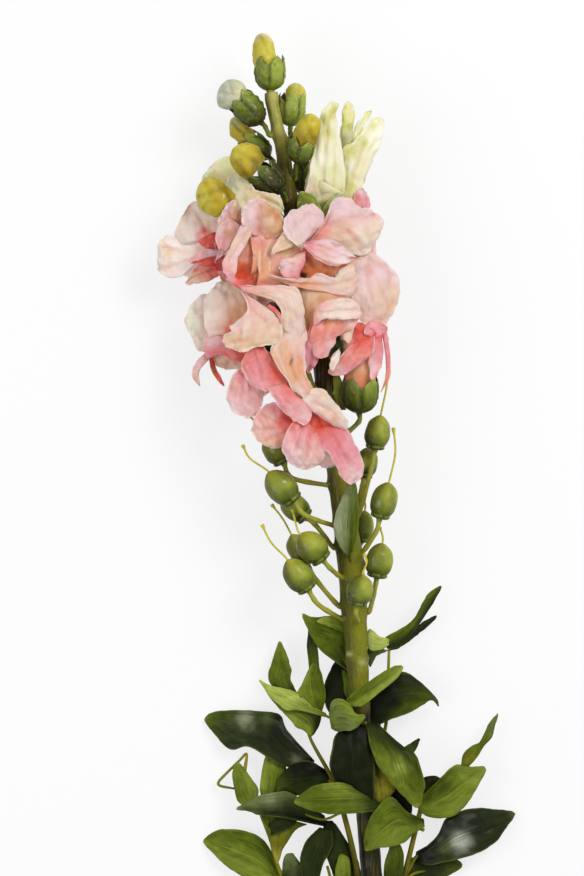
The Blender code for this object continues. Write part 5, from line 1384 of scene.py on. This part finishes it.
florets["half_open_left"] = dict(
    foot=(80, 220), base=(-14.6, 84.6, 21.6), mouth=(-27, 96.4, 18.6), radius=5.6, cream=True, throat=5,
    cup=(4, 8),
    petals=(
    (((-28, 90, 20), (-33, 96.4, 20), (-47, 103, 20), (-44.6, 108.6, 20), (-40.6, 113, 20), (-35, 113.4, 20),
      (-24.4, 101, 22)), "straw straw cream paleCream", dict(stains=((-43, 105, 2.2, "budYellow", 0.5),),
      creases=((-30, 98, -42, 108, 0.9, 0.7),))),
    (((-17, 87, 45), (-22, 86.6, 44.6), (-28, 88, 44.6), (-33.4, 92, 43), (-36.4, 97, 36.4), (-38, 103, 29),
      (-32.6, 106.4, 31), (-28, 102.4, 40), (-24.6, 98.4, 45), (-16.6, 97, 45.4), (-14.2, 91.4, 45.4)),
      ("straw straw cream cream", "straw sand cream cream"), dict(loose, bulge=0.05, ruffle=0.4,
      edge=("paleCream", 0.6), stains=((-29, 94, 2.6, "tan", 0.5),),
      creases=((-17, 93, -31, 101, 0.9, 0.7),))),
    hanging((-24, 95, 14), (-41, 104, 2), (1, 4.5, 0.2), "straw cream cream", (-0.6, 0, -0.5)),
    ),
)


leafLook = dict(
    rows=34, columns=18, thickness=0.5, bulge=0.1, ruffle=0.4, waves=2, frill=0.2, pleat=0.05, wrinkle=0.35,
    crumple=0.4, wobble=0.14, edge=("leafPale", 0.2), gloss=0.2, shade=(0.55, 0.55, 0.5),
)
stalkLook = dict(
    rings=40, sides=12, thin=0.62, leftShade=0.4, tones="stemLow leafOlive leaf",
    thread=0.55, threadTones="stemMid leafOlive leaf",
)
# Leaves: the stalk's points with a radius, then blades, whose outlines get z from their heights
leaves = {}
leaves["bract_front"] = dict(
    stalk=((12.4, -50, 25, 1.2), (12.2, -47, 28, 1), (11.6, -43, 29.6, 0.6)),
    blades=(
    (((11, -46), (7, -40), (5.4, -33), (8, -24), (13, -15.6), (15, -22), (15.4, -32), (14, -42), (12, -46)),
      ("leafGrey leafAsh leafGrey", "leaf leaf leafGrey"), dict(heights=(28.2, 34.6, 38), roll=0.35,
      creases=((12, -44, 12, -22, 0.7, 0.8),))),
    ),
)
leaves["leaf_upper_left"] = dict(
    stalk=((14, -97, 14, 1.4), (12.6, -94, 14, 1.1), (9.4, -88, 14.4, 0.6)),
    blades=(
    (((13, -94.6), (4.6, -88.4), (0.4, -85), (-3, -80), (-7, -70.6), (-3, -71.4), (5.6, -71), (10.4, -72),
      (13, -86)), "leafDark leaf leaf leafLight", dict(heights=(13.2, 15.6, 16.6), ruffle=0.6,
      creases=((9, -88, 1, -77, 0.9, 0.5),))),
    (((11, -78), (6, -76), (2.4, -74.6), (-1, -73), (2.4, -71), (6.4, -71), (11, -72)),
      "leaf leafLight leafPale", dict(heights=(17.4, 18.4, 17.6), rows=22)),
    ),
)
leaves["leaf_right_dark"] = dict(
    stalk=((18, -124, 12.4, 1.5), (20, -118, 12.6, 1.2), (27, -106, 12.6, 0.6)),
    blades=(
    # Its near-black root and stains are painted shadow.
    (((17.4, -116), (24, -115), (28.4, -113), (37, -110), (45, -105.4), (48, -107.6), (46, -103),
      (36.4, -94.6), (30.4, -94.4), (23, -99.6), (16, -106)),
      ("leafNight leafDark leaf leaf", "leafNight leafNight leafDark leaf"), dict(heights=(12.4, 13.4, 7),
      ruffle=0.6, stains=((21, -108, 6, "leafNight", 0.95), (30, -105, 5, "leafNight", 0.85),
      (38, -104, 3, "leafDark", 0.6)), creases=((24, -109, 44, -105, 0.9, 0.6),
      (30, -100, 41, -102, 0.8, 0.4)))),
    # A leaf in shade, painted near black.
    (((21, -123), (15, -119), (13.6, -112), (15, -104), (20, -105), (24, -111), (25, -119)),
      "leafNight leafNight leafDeep", dict(heights=(9, 10.4, 10), rows=22)),
    ),
)
leaves["leaf_left_dark"] = dict(
    stalk=((12, -141.6, 11.6, 1.5), (4, -137, 11.4, 1.2), (-6.8, -129.4, 10.6, 0.8), (-16, -121, 9, 0.5)),
    blades=(
    # Its near-black root and stain are painted shadow, and the pale ash and grey stains are a painted
    # highlight.
    (((-3, -131), (-14.4, -132), (-28.4, -124.4), (-36, -125.6), (-41.6, -121), (-46.4, -113.4), (-40, -110),
      (-23, -110), (-16, -111.4), (-13, -117.6), (-2, -130)),
      ("leafNight leafDark leafDark leaf", "leafNight leafDark leafDark leaf"), dict(heights=(11, 8.6, 1),
      gloss=0.4, ruffle=0.7, stains=((-17, -118, 6, "leafNight", 0.9), (-30, -113, 3.4, "leafAsh", 0.7),
      (-21, -113, 2.4, "leafGrey", 0.5), (-38, -120, 4, "leafDark", 0.7), (-9, -130, 2, "leafAsh", 0.5)),
      creases=((-8, -127, -38, -116, 1.2, 0.6),))),
    ),
)
leaves["leaf_drooping"] = dict(
    stalk=((16.6, -112, 17, 1.5), (19.6, -115.4, 18.4, 1.1), (24, -120, 19.8, 0.6)),
    blades=(
    (((19, -114), (19.4, -120), (21.4, -126.4), (24, -132), (27.4, -136.4), (39, -148), (41.6, -142),
      (42, -137), (38.4, -126), (34, -123.4), (23, -114)),
      ("leafDark leaf leafLight leafLight", "leafDark leafDark leaf leafLight"),
      dict(heights=(18.6, 24, 17.6), ruffle=0.6, stains=((24, -119, 4, "leafDark", 0.6),
      (32, -131, 2.4, "leafPale", 0.7)), creases=((24, -119, 38, -142, 0.9, 0.7),
      (32, -125, 38, -132, 0.8, 0.4)))),
    (((33, -124), (36.4, -122), (40, -120.4), (39, -124), (37.6, -126)), "leaf leafDark leafDark",
      dict(heights=(20, 19.6, 18), rows=20)),
    (((20, -122), (21, -140), (23, -146), (26.4, -144.6), (29, -143), (30, -137.6), (23, -125)),
      "leafDark stemMid leafOlive leafDark", dict(heights=(16.4, 18.2, 16), ruffle=0.5,
      creases=((22, -128, 25, -143, 0.8, 0.6),))),
    # A leaf in shade, painted near black.
    (((30.4, -136), (28.4, -144), (32, -150.4), (36.4, -153.6), (37.4, -146), (35, -141), (33, -135.6)),
      "leafNight leafNight leafDeep", dict(heights=(14.6, 11.4, 10), rows=22)),
    ),
)
leaves["leaf_base_dark"] = dict(
    stalk=((31.6, -182, 7.4, 1.8), (36, -174, 8, 1.5), (39.6, -168.6, 8.6, 1.2), (48, -163.6, 10, 0.6)),
    blades=(
    # Its near-black root and stain are painted shadow, and the silver and grey stains are a painted
    # highlight.
    (((39, -170.4), (44, -172), (51, -170.4), (57.6, -169), (65, -166.6), (71, -163), (75.4, -158),
      (79, -152), (72, -150), (64, -149), (57, -150), (51, -153), (48, -159), (44, -163.6), (39, -167)),
      ("leafNight leafDark leafDark leafDark", "leafNight leafNight leafDark leafDark"),
      dict(heights=(8.4, 12.6, 1), gloss=0.45, ruffle=0.6, stains=((57, -162, 3.6, "leafSilver", 0.85),
      (51, -164, 3, "leafGrey", 0.5), (63, -156, 6, "leafNight", 0.8)),
      creases=((46, -166, 72, -156, 1, 0.4),))),
    ),
)
leaves["leaf_crosswise"] = dict(
    stalk=((20, -147, 12.6, 1.4), (18.6, -146, 17, 1.1), (13, -144.6, 21, 0.6)),
    blades=(
    (((26, -146.4), (21, -149.4), (7, -150), (1, -149.6), (-5, -148), (-10, -145), (-5, -140), (0, -138),
      (6, -137.4), (11.4, -138.4), (25, -145)),
      ("leafDark leaf leaf leafLight", "leafDark leafLight leaf leaf"), dict(heights=(16.4, 25, 23),
      ruffle=0.5, stains=((22, -146, 4.6, "leafDark", 0.8),), creases=((20, -145, -7, -145, 0.9, 0.7),))),
    ),
)
leaves["leaf_front_light"] = dict(
    stalk=((42, -157.6, 12.6, 1.3), (38.4, -156.2, 14.6, 1), (33, -155.4, 17.4, 0.5)),
    blades=(
    (((42, -156), (37, -159), (33.6, -162), (29, -163.4), (24, -164), (18.4, -165), (18, -158),
      (21.6, -149.6), (28.4, -143.4), (35, -149.4), (42, -153)),
      ("leaf leafLight leafLight", "leafDark leaf leaf"), dict(heights=(14.8, 21, 18), ruffle=0.6,
      stains=((33, -150, 4, "leaf", 0.7),), creases=((40, -155, 22, -154, 0.8, 0.6),))),
    ),
)
leaves["leaf_base_left"] = dict(
    stalk=((-14, -179, 8.4, 1.3), (-18, -176, 7.6, 1), (-26, -170.6, 6.6, 0.5)),
    blades=(
    (((-17.4, -182), (-25, -180), (-32, -176.6), (-38, -173), (-43, -168.4), (-47, -163.4), (-42.4, -159),
      (-36, -158), (-29, -159), (-22, -163), (-15, -176)),
      ("leafLight leafLight leafLight", "leaf leaf leaf"), dict(heights=(6.8, 6.6, 1), ruffle=0.5,
      creases=((-18, -177, -44, -164, 0.8, 0.7),))),
    ),
)

# Side shoots: each route's points with a radius, its colours, then its blades and threads; where a stalk's
# colours start near black, that is painted shade
shoots = {}
shoots["branch_left"] = dict(
    stalk=((15.2, -186, 9.6, 2), (14.6, -172, 14.6, 1.9), (10, -152, 16, 1.8), (5, -137, 13.6, 1.5),
    (-4.4, -119, 12, 1), (-3, -110, 12, 0.8)), tones="stemDark stemMid leafOlive",
    threads=(
    ((-3.4, -112, 12), (-1.6, -106, 13.6), (-2.4, -96, 15)),
    ((9, -150, 15.6), (1, -153, 15.6), (-10, -149, 16.6)),
    ((5.6, -138, 13.4), (0, -137, 13.6), (-6, -136.4, 13.8)),
    ((-3, -110.8, 12.4), (0, -110.4, 13), (4.4, -112.2, 15.6)),
    ),
    blades=(
    (((-1.6, -110.4), (-8.6, -103), (-8, -100), (-3, -90.4), (0, -92), (2.4, -103), (0.6, -111)),
      ("leaf leafLight leafLight", "leaf leaf leaf"), dict(heights=(12.6, 15.4, 16.4),
      creases=((-1, -109, -3, -94, 0.7, 0.7),))),
    (((0, -94), (-0.6, -86), (-1.6, -80), (-4, -75.6), (-5, -81), (-5, -86), (-4, -94)),
      "leaf leafDark leafDark", dict(heights=(15.6, 15, 14))),
    (((-4.4, -110), (-11.4, -98), (-11.6, -92.4), (-16, -82), (-19, -89), (-20.6, -97.6), (-12.6, -105.6)),
      "leafDark leaf leaf leafLight", dict(heights=(11.4, 9, 6),
      creases=((-11, -103, -16, -87, 0.8, 0.6),))),
    (((2.6, -112), (-9, -109), (-13.6, -109), (-17.6, -106), (-20.6, -103), (-24, -97), (-20.4, -99),
      (-11.6, -101), (-7.4, -103.4), (-3.4, -107), (2.6, -110.6)), "leafLight leafPale leafPale",
      dict(heights=(12.8, 15.2, 13), creases=((-4, -109, -19, -102, 0.7, 0.5),))),
    (((-3.6, -120), (-7, -117), (-9.6, -116), (-13, -112), (-17, -108), (-21, -102.6), (-13.4, -107),
      (-8, -107), (0, -110), (0, -115), (-2.4, -119)),
      ("leafLight leafLight leafLight", "leafDark leafDark leaf"), dict(heights=(12, 12.8, 10),
      creases=((-3, -116, -17, -107, 0.8, 0.6),))),
    (((2.6, -156), (-11, -153), (-17.6, -152), (-24, -151.4), (-28.4, -150), (-33.4, -149), (-28.4, -145.4),
      (-23, -143), (-17.6, -142), (-11.4, -142.4), (2, -151.6)),
      ("leafNight leafDark leafGrey", "leafDark leafGrey leafGrey"), dict(heights=(15.4, 16.6, 12.4),
      gloss=0.25, stains=((-14, -147, 4, "leafDark", 0.6), (-20, -144, 3, "leafAsh", 0.5)),
      creases=((0, -153, -30, -149, 0.8, 0.7),))),
    # Its right side is painted near black as shade.
    (((4.6, -138.6), (-1, -140), (-8, -143.4), (-15, -143.4), (-17.4, -141), (-15, -137), (-12.6, -132),
      (-9.4, -130), (-5, -129.4), (-0.4, -131.4), (5, -135)),
      ("leafDark leafDark leaf", "leafNight leafNight leafDark"), dict(heights=(13, 14, 12))),
    ),
)
shoots["branch_right"] = dict(
    stalk=((29.4, -192, 7.4, 2), (34.8, -174.4, 9, 1.8), (40.6, -150, 13, 1.6), (43, -143, 13, 1)),
    tones="stemDark stemMid stemMid",
    threads=(
    ((41.6, -147, 12.6), (50, -138, 11), (57.4, -131.6, 11.6)),
    ((33, -180, 8.6), (38, -176, 7.6), (44, -174.6, 6)),
    ),
    blades=(
    (((40, -149.6), (44, -152), (49, -152.6), (54, -151.6), (59, -147.6), (62.6, -142), (67, -132.6),
      (60, -132), (55, -131), (50, -135), (46, -139), (42, -143), (39, -146)),
      ("leaf leafLight leafLight", "leaf leaf leafLight"), dict(heights=(13.6, 15.4, 12), ruffle=0.6,
      creases=((43, -147, 61, -136, 0.8, 0.6),), stains=((50, -140, 3.6, "leafDark", 0.5),))),
    # A small leaf in painted shade.
    (((41.6, -146), (40.6, -141), (41.6, -136.6), (47, -136.4), (49.4, -138), (46, -142.4), (43, -147)),
      "leafDark stemDark leafDark", dict(heights=(12.6, 12, 11.4), rows=22)),
    (((57, -132.6), (58, -127), (61.4, -124), (65, -122), (68.6, -115), (72.4, -111), (71, -116.4),
      (69.4, -121), (66.4, -124), (64, -128), (59, -133.6)), "leafOlive leaf leafGrey",
      dict(heights=(12, 10, 6.4), ruffle=0.2, bulge=0.2)),
    (((34, -180), (42, -178.4), (50, -178), (58, -173), (52, -169), (44, -171), (36.4, -169)),
      "leafDark leafDark leaf", dict(heights=(6.8, 5.6, 4), gloss=0.5)),
    ),
)
shoots["shoot_lower_left"] = dict(
    stalk=((18.4, -207, 5.4, 1.9), (2, -197, 6.4, 1.7), (-14.6, -178, 9, 1.5), (-20.6, -158, 11, 1.1),
    (-23, -147, 11, 0.8)), tones="stemDark stemLow leafOlive",
    threads=(
    ((-23, -148, 11), (-27.4, -146.6, 10.6), (-31, -141, 9.4)),
    ((-30.4, -134, 8), (-29.6, -127.4, 7), (-32.4, -130, 6), (-38.4, -136, 4.6), (-41, -139, 4),
      (-40.4, -140.6, 4), (-34.6, -141.6, 5.4)),
    ),
    blades=(
    (((-27.6, -149.6), (-32.4, -147), (-34, -144), (-35.4, -135), (-33, -131), (-27, -138), (-25, -141),
      (-25, -145), (-25.6, -148.6)), ("leafLight leaf leafLight", "leaf leafLight leafLight"),
      dict(heights=(10.8, 9.8, 7.6), creases=((-28, -147, -32, -135, 0.8, 0.6),))),
    (((-22.4, -148), (-24, -143), (-24, -138), (-22, -128), (-20, -124), (-14, -132), (-14, -135),
      (-16, -140.4), (-20.6, -147.6)), ("leaf leafLight leafLight", "leaf leaf leaf"),
      dict(heights=(11, 9.6, 7), creases=((-21, -145, -20, -128, 0.8, 0.6),))),
    (((-25, -150), (-20.6, -161.6), (-19, -167), (-17, -171), (-15, -166), (-10, -158), (-5, -155.4)),
      "leaf leafOlive stemTop", dict(heights=(11.6, 12.6, 11), ruffle=0.5,
      creases=((-16, -154, -17, -167, 0.8, 0.5),))),
    (((-15.4, -177.6), (-14.4, -168.6), (-11, -168), (-7.4, -172), (-6, -178.6)),
      "leafDark leafGrey leafGrey", dict(heights=(9.6, 10.4, 9), rows=24)),
    (((-20.6, -160), (-17.6, -159), (-13.6, -157.6), (-10, -154.6), (-5.6, -151), (-10, -150),
      (-15.6, -151.4), (-19.6, -153.6), (-22, -156)), "leafDark leafDark leafDark",
      dict(heights=(11, 14.6, 11))),
    ),
)
shoots["shoot_upper_right"] = dict(
    stalk=((23, -128, 11.6, 1.4), (26.8, -116, 7, 1.2), (27.6, -101, 7.8, 1.1), (28, -83, 16, 0.9)),
    tones="stemMid stemLow stemTop",
    threads=(

    ),
    blades=(
    (((28, -82.4), (24, -84.6), (20, -84.4), (19, -80), (20, -76), (24, -79), (28, -80)),
      "leafPale leafPale leafAsh", dict(heights=(16.4, 18.4, 17), rows=24)),
    (((27.6, -84.6), (23, -87.4), (20.4, -91.6), (19, -87), (19.6, -83)), "leafGrey leafGrey leafGrey",
      dict(heights=(15.4, 13, 10), rows=22)),
    (((27, -84), (31, -83.6), (36, -79), (40.6, -74), (47, -64), (49, -59.4), (45.4, -61), (42, -64.6),
      (40, -69.4), (36, -74), (26.6, -79.4)), ("leafDark leafDark leafDark", "leaf leaf leaf"),
      dict(heights=(16.2, 15, 8), creases=((29, -82, 45, -64, 0.7, 0.6),))),
    (((28, -85), (33, -83.6), (43.4, -76), (47.4, -71.6), (42.4, -73.4), (32, -80), (27.4, -81)),
      "leaf leafDark leafDark", dict(heights=(15.6, 10.6, 4.4), ruffle=0.2)),
    ),
)
shoots["shoot_centre"] = dict(
    stalk=((13.6, -127, 18.6, 1.3), (9.6, -121, 19.4, 1.2), (9, -113, 18, 0.9)),
    tones="stemMid stemMid leafOlive",
    threads=(
    ((9, -114, 18.2), (11, -109, 20.4), (16, -103.4, 22.6)),
    ((9.2, -116, 18.4), (10, -113.6, 21), (13, -112.6, 23.8)),
    ),
    blades=(
    (((5, -116), (7.6, -117), (10.4, -116.6), (13.6, -116), (16, -114), (18, -110.6), (14.4, -109.6),
      (12, -106), (9, -104), (5, -104.6), (3.6, -110.4)),
      ("leaf leafGrey leafLight", "leafGrey leafLight leafLight"), dict(heights=(21, 24.6, 25), ruffle=0.6,
      creases=((7, -112, 16, -111, 0.8, 0.6),))),
    # A leaf in shade, painted near black.
    (((6.4, -114), (2.6, -108), (2, -103), (2, -98.4), (7, -90), (10.6, -92.6), (13, -97.6), (12, -107.4),
      (9.6, -112)), "leafNight leafDeep leafDeep", dict(heights=(15.6, 12.4, 7))),
    (((12.6, -107.4), (10, -102), (9.4, -97.6), (8.6, -92.4), (11.4, -95), (13.4, -99), (14, -105.6)),
      "leafDark leaf leaf", dict(heights=(15.4, 13.6, 8.4))),
    # A leaf in shade, painted near black.
    (((10.6, -115), (6, -119), (4.6, -125), (4, -131.4), (7, -139), (13.6, -143.6), (21.4, -146), (22, -138),
      (22, -130), (20.6, -122), (18.6, -114.6)), "leafNight leafDeep leafDeep leafDeep",
      dict(heights=(19.2, 21.6, 14.4), creases=((13, -117, 13, -141, 0.8, 0.4),))),
    (((10.6, -106.4), (15, -107), (18.4, -105.6), (31, -95.4), (33, -91), (28, -91.4), (16.4, -99),
      (13, -101.6), (10.4, -104.6)), ("leafLight leafLight leafPale", "leaf leaf leafLight"),
      dict(heights=(22.4, 24, 22), roll=0.15, creases=((13, -105, 30, -94, 0.8, 0.7),))),
    ),
)
shoots["shoot_base"] = dict(
    stalk=((19.8, -213, 10, 1.8), (13, -200, 13, 1.6), (6.6, -184, 14, 1.3), (3, -172, 14, 0.9)),
    tones="stemDark stemLow leafOlive",
    threads=(
    ((14, -202, 12.6), (20, -190, 13.6), (25.6, -182, 12), (29, -176, 11)),
    ),
    blades=(
    (((0, -156.4), (-5, -161), (-7.4, -166.4), (-8, -171), (-5.6, -179), (-1, -178.6), (1.6, -171),
      (5, -164), (5, -157.6)), "leafDark leafDark leafDark", dict(heights=(14, 14.6, 13.4))),
    (((2, -154), (1, -162), (3.4, -170.4), (7.4, -178.6), (16.6, -178.6), (15, -169), (10.6, -161.6),
      (7, -156), (5, -154)), "leafDark leafDark leafDark", dict(heights=(11, 12.4, 11.8))),
    (((6.6, -181), (6.4, -173), (8.6, -167.4), (12, -169.6), (12.4, -180)), "leaf leafLight leaf",
      dict(heights=(13.6, 15, 13.6), rows=24)),
    (((26, -180.6), (26, -172), (27.6, -167), (29.4, -161.6), (32, -162.6), (34, -168), (33.4, -180.6)),
      "leafDark leaf leafGrey", dict(heights=(10.6, 12, 11.4))),
    ),
)


def makeLeaves(name, ending, spec, finish):
    # A round stalk from points with a radius, thin stalks to the blades that sit beside it, and the blades.
    look = stalkLook
    surface = Surface()
    curve = curveThrough(spec["stalk"], look["rings"])
    grid = tubeGrid(curve[:, :3], curve[:, 3] * look["thin"], look["sides"])
    tone = tonesAt(spec.get("tones", look["tones"]), np.linspace(0, 1, look["rings"]))[:, None]
    out = unit(grid - curve[:, None, :3])
    # Painted shade on the stalk's left side.
    surface.solid(grid, paintedShadeLeft(tone, out, look["leftShade"]), (0.5, 0.0, 0.1))
    for thread in spec.get("threads", ()):
        addThread(surface, thread, look["thread"], look["threadTones"], -0.2)
    for number, blade in enumerate(spec["blades"]):
        addBlade(surface, blade, seedOf(name, 89) + 7 * number, **leafLook)
    surface.build(f"{name}_{ending}", finish, [name], "leaf")


# The stage: a camera, two lights and a floor
cameraLook = dict(middle=(-11.2, 0.8), height=1500, plane=28, tall=350.4, sensor=36)
lightLook = dict(
    world=0.42, key=7.6, keyFrom=(0.5, 0.5, 0.9), keySize=0.5, fill=4.2, fillFrom=(-0.7, -0.1, 0.8),
    fillSize=0.7,
)
floorLook = dict(size=6, colour=(0.86, 0.86, 0.86, 1), lift=0.75)  # lift: how white the camera sees it


def makeCamera():
    # Straight down over the plant; the lens shows the wanted height of the plane that the flower head is in.
    look = cameraLook
    camera = bpy.data.cameras.new("camera")
    camera.sensor_width = look["sensor"]
    camera.lens = look["sensor"] * (look["height"] - look["plane"]) / look["tall"]
    camera.clip_end = 50.0
    made = bpy.data.objects.new("camera", camera)
    made.location = shift + np.array((*look["middle"], look["height"])) * mm
    bpy.context.scene.collection.objects.link(made)
    bpy.context.scene.camera = made


def makeLight(name, energy, place, size):
    # A square light that looks at the middle.
    light = bpy.data.lights.new(name, "AREA")
    light.energy = energy
    light.size = size
    made = bpy.data.objects.new(name, light)
    made.location = place
    made.rotation_euler = (-made.location).to_track_quat("-Z", "Y").to_euler()
    bpy.context.scene.collection.objects.link(made)


def seenPlainly(nodes, links):
    # 1 for a ray from the camera, or seen in gloss or through glass.
    path = nodes.new("ShaderNodeLightPath")
    total = path.outputs["Is Camera Ray"]
    for key in ("Is Glossy Ray", "Is Transmission Ray"):
        add = nodes.new("ShaderNodeMath")
        add.operation = "MAXIMUM"
        links.new(total, add.inputs[0])
        links.new(path.outputs[key], add.inputs[1])
        total = add.outputs[0]
    return total


def makeStage():
    # A dim white world, two lights and a floor. The camera sees the world as white, and the floor too, apart
    # from the shadow.
    look = floorLook
    scene = bpy.context.scene
    scene.view_settings.view_transform = "Standard"
    world = bpy.data.worlds.new("world")
    world.use_nodes = True
    tree = world.node_tree
    back = tree.nodes["Background"]
    back.inputs["Color"].default_value = (1.0, 1.0, 1.0, 1.0)
    strength = tree.nodes.new("ShaderNodeMapRange")
    tree.links.new(seenPlainly(tree.nodes, tree.links), strength.inputs["Value"])
    strength.inputs["To Min"].default_value = lightLook["world"]
    strength.inputs["To Max"].default_value = 1.0
    tree.links.new(strength.outputs["Result"], back.inputs["Strength"])
    scene.world = world
    makeLight("keyLight", lightLook["key"], lightLook["keyFrom"], lightLook["keySize"])
    makeLight("fillLight", lightLook["fill"], lightLook["fillFrom"], lightLook["fillSize"])
    half = look["size"] / 2
    mesh = bpy.data.meshes.new("floor")
    corners = [(-half, -half, 0), (half, -half, 0), (half, half, 0), (-half, half, 0)]
    mesh.from_pydata(corners, [], [(0, 1, 2, 3)])
    floor = bpy.data.objects.new("floor", mesh)
    scene.collection.objects.link(floor)
    finish = Finish("floorPaint", Base_Color=look["colour"], Roughness=0.9, Specular_IOR_Level=0.1)
    glow = finish.node("ShaderNodeEmission", sockets={"Color": (1.0, 1.0, 1.0, 1.0), "Strength": 1.0})
    mixed = finish.node("ShaderNodeMixShader")
    seen = Wire(finish, seenPlainly(finish.tree.nodes, finish.tree.links))
    finish.feed(mixed.inputs[0], seen * look["lift"])
    finish.tree.links.new(finish.shader.outputs[0], mixed.inputs[1])
    finish.tree.links.new(glow.outputs[0], mixed.inputs[2])
    finish.tree.links.new(mixed.outputs[0], finish.tree.nodes["Material Output"].inputs["Surface"])
    mesh.materials.append(finish.material)


def main():
    makeStage()
    makeCamera()
    print("stage ready")
    petalSkin = petalFinish("petalSkin", "lilac", "warm", "glow", (1.0, 0.5, 0.35))
    creamSkin = petalFinish("creamSkin", "paleCream", "lime", "straw", (0.8, 0.8, 0.4))
    leafSkin, waxSkin = leafFinish(), waxFinish()
    stemSkin = greenFinish("stemBark", 14.0, 0.4, 0.12, 0.25)
    greenSkin = greenFinish("calyxSkin", 3.0, 0.38, 0.14, 0.5)
    podSkin = greenFinish("podSkin", 2.0, 0.32, 0.10, 0.6)
    feet = [spec["foot"] for spec in (*florets.values(), *buds.values())]
    makeStem(stemSkin, feet + [pod[0] for pod in capsules.values()])
    for name, bud in buds.items():
        makeBud(name, bud, greenSkin, waxSkin)
    print("stem and buds made")
    for name, spec in florets.items():
        makeCalyx(name, spec, greenSkin)
        makeCorolla(name, spec, creamSkin if spec.get("cream") else petalSkin)
    print("florets made")
    for name, capsule in capsules.items():
        makeCapsule(name, capsule, podSkin)
    print("capsules made")
    for name, leaf in leaves.items():
        makeLeaves(name, "blade", leaf, leafSkin)
    for name, shoot in shoots.items():
        makeLeaves(name, "leaves", shoot, leafSkin)
    print("leaves made")


main()
bpy.context.view_layer.update()
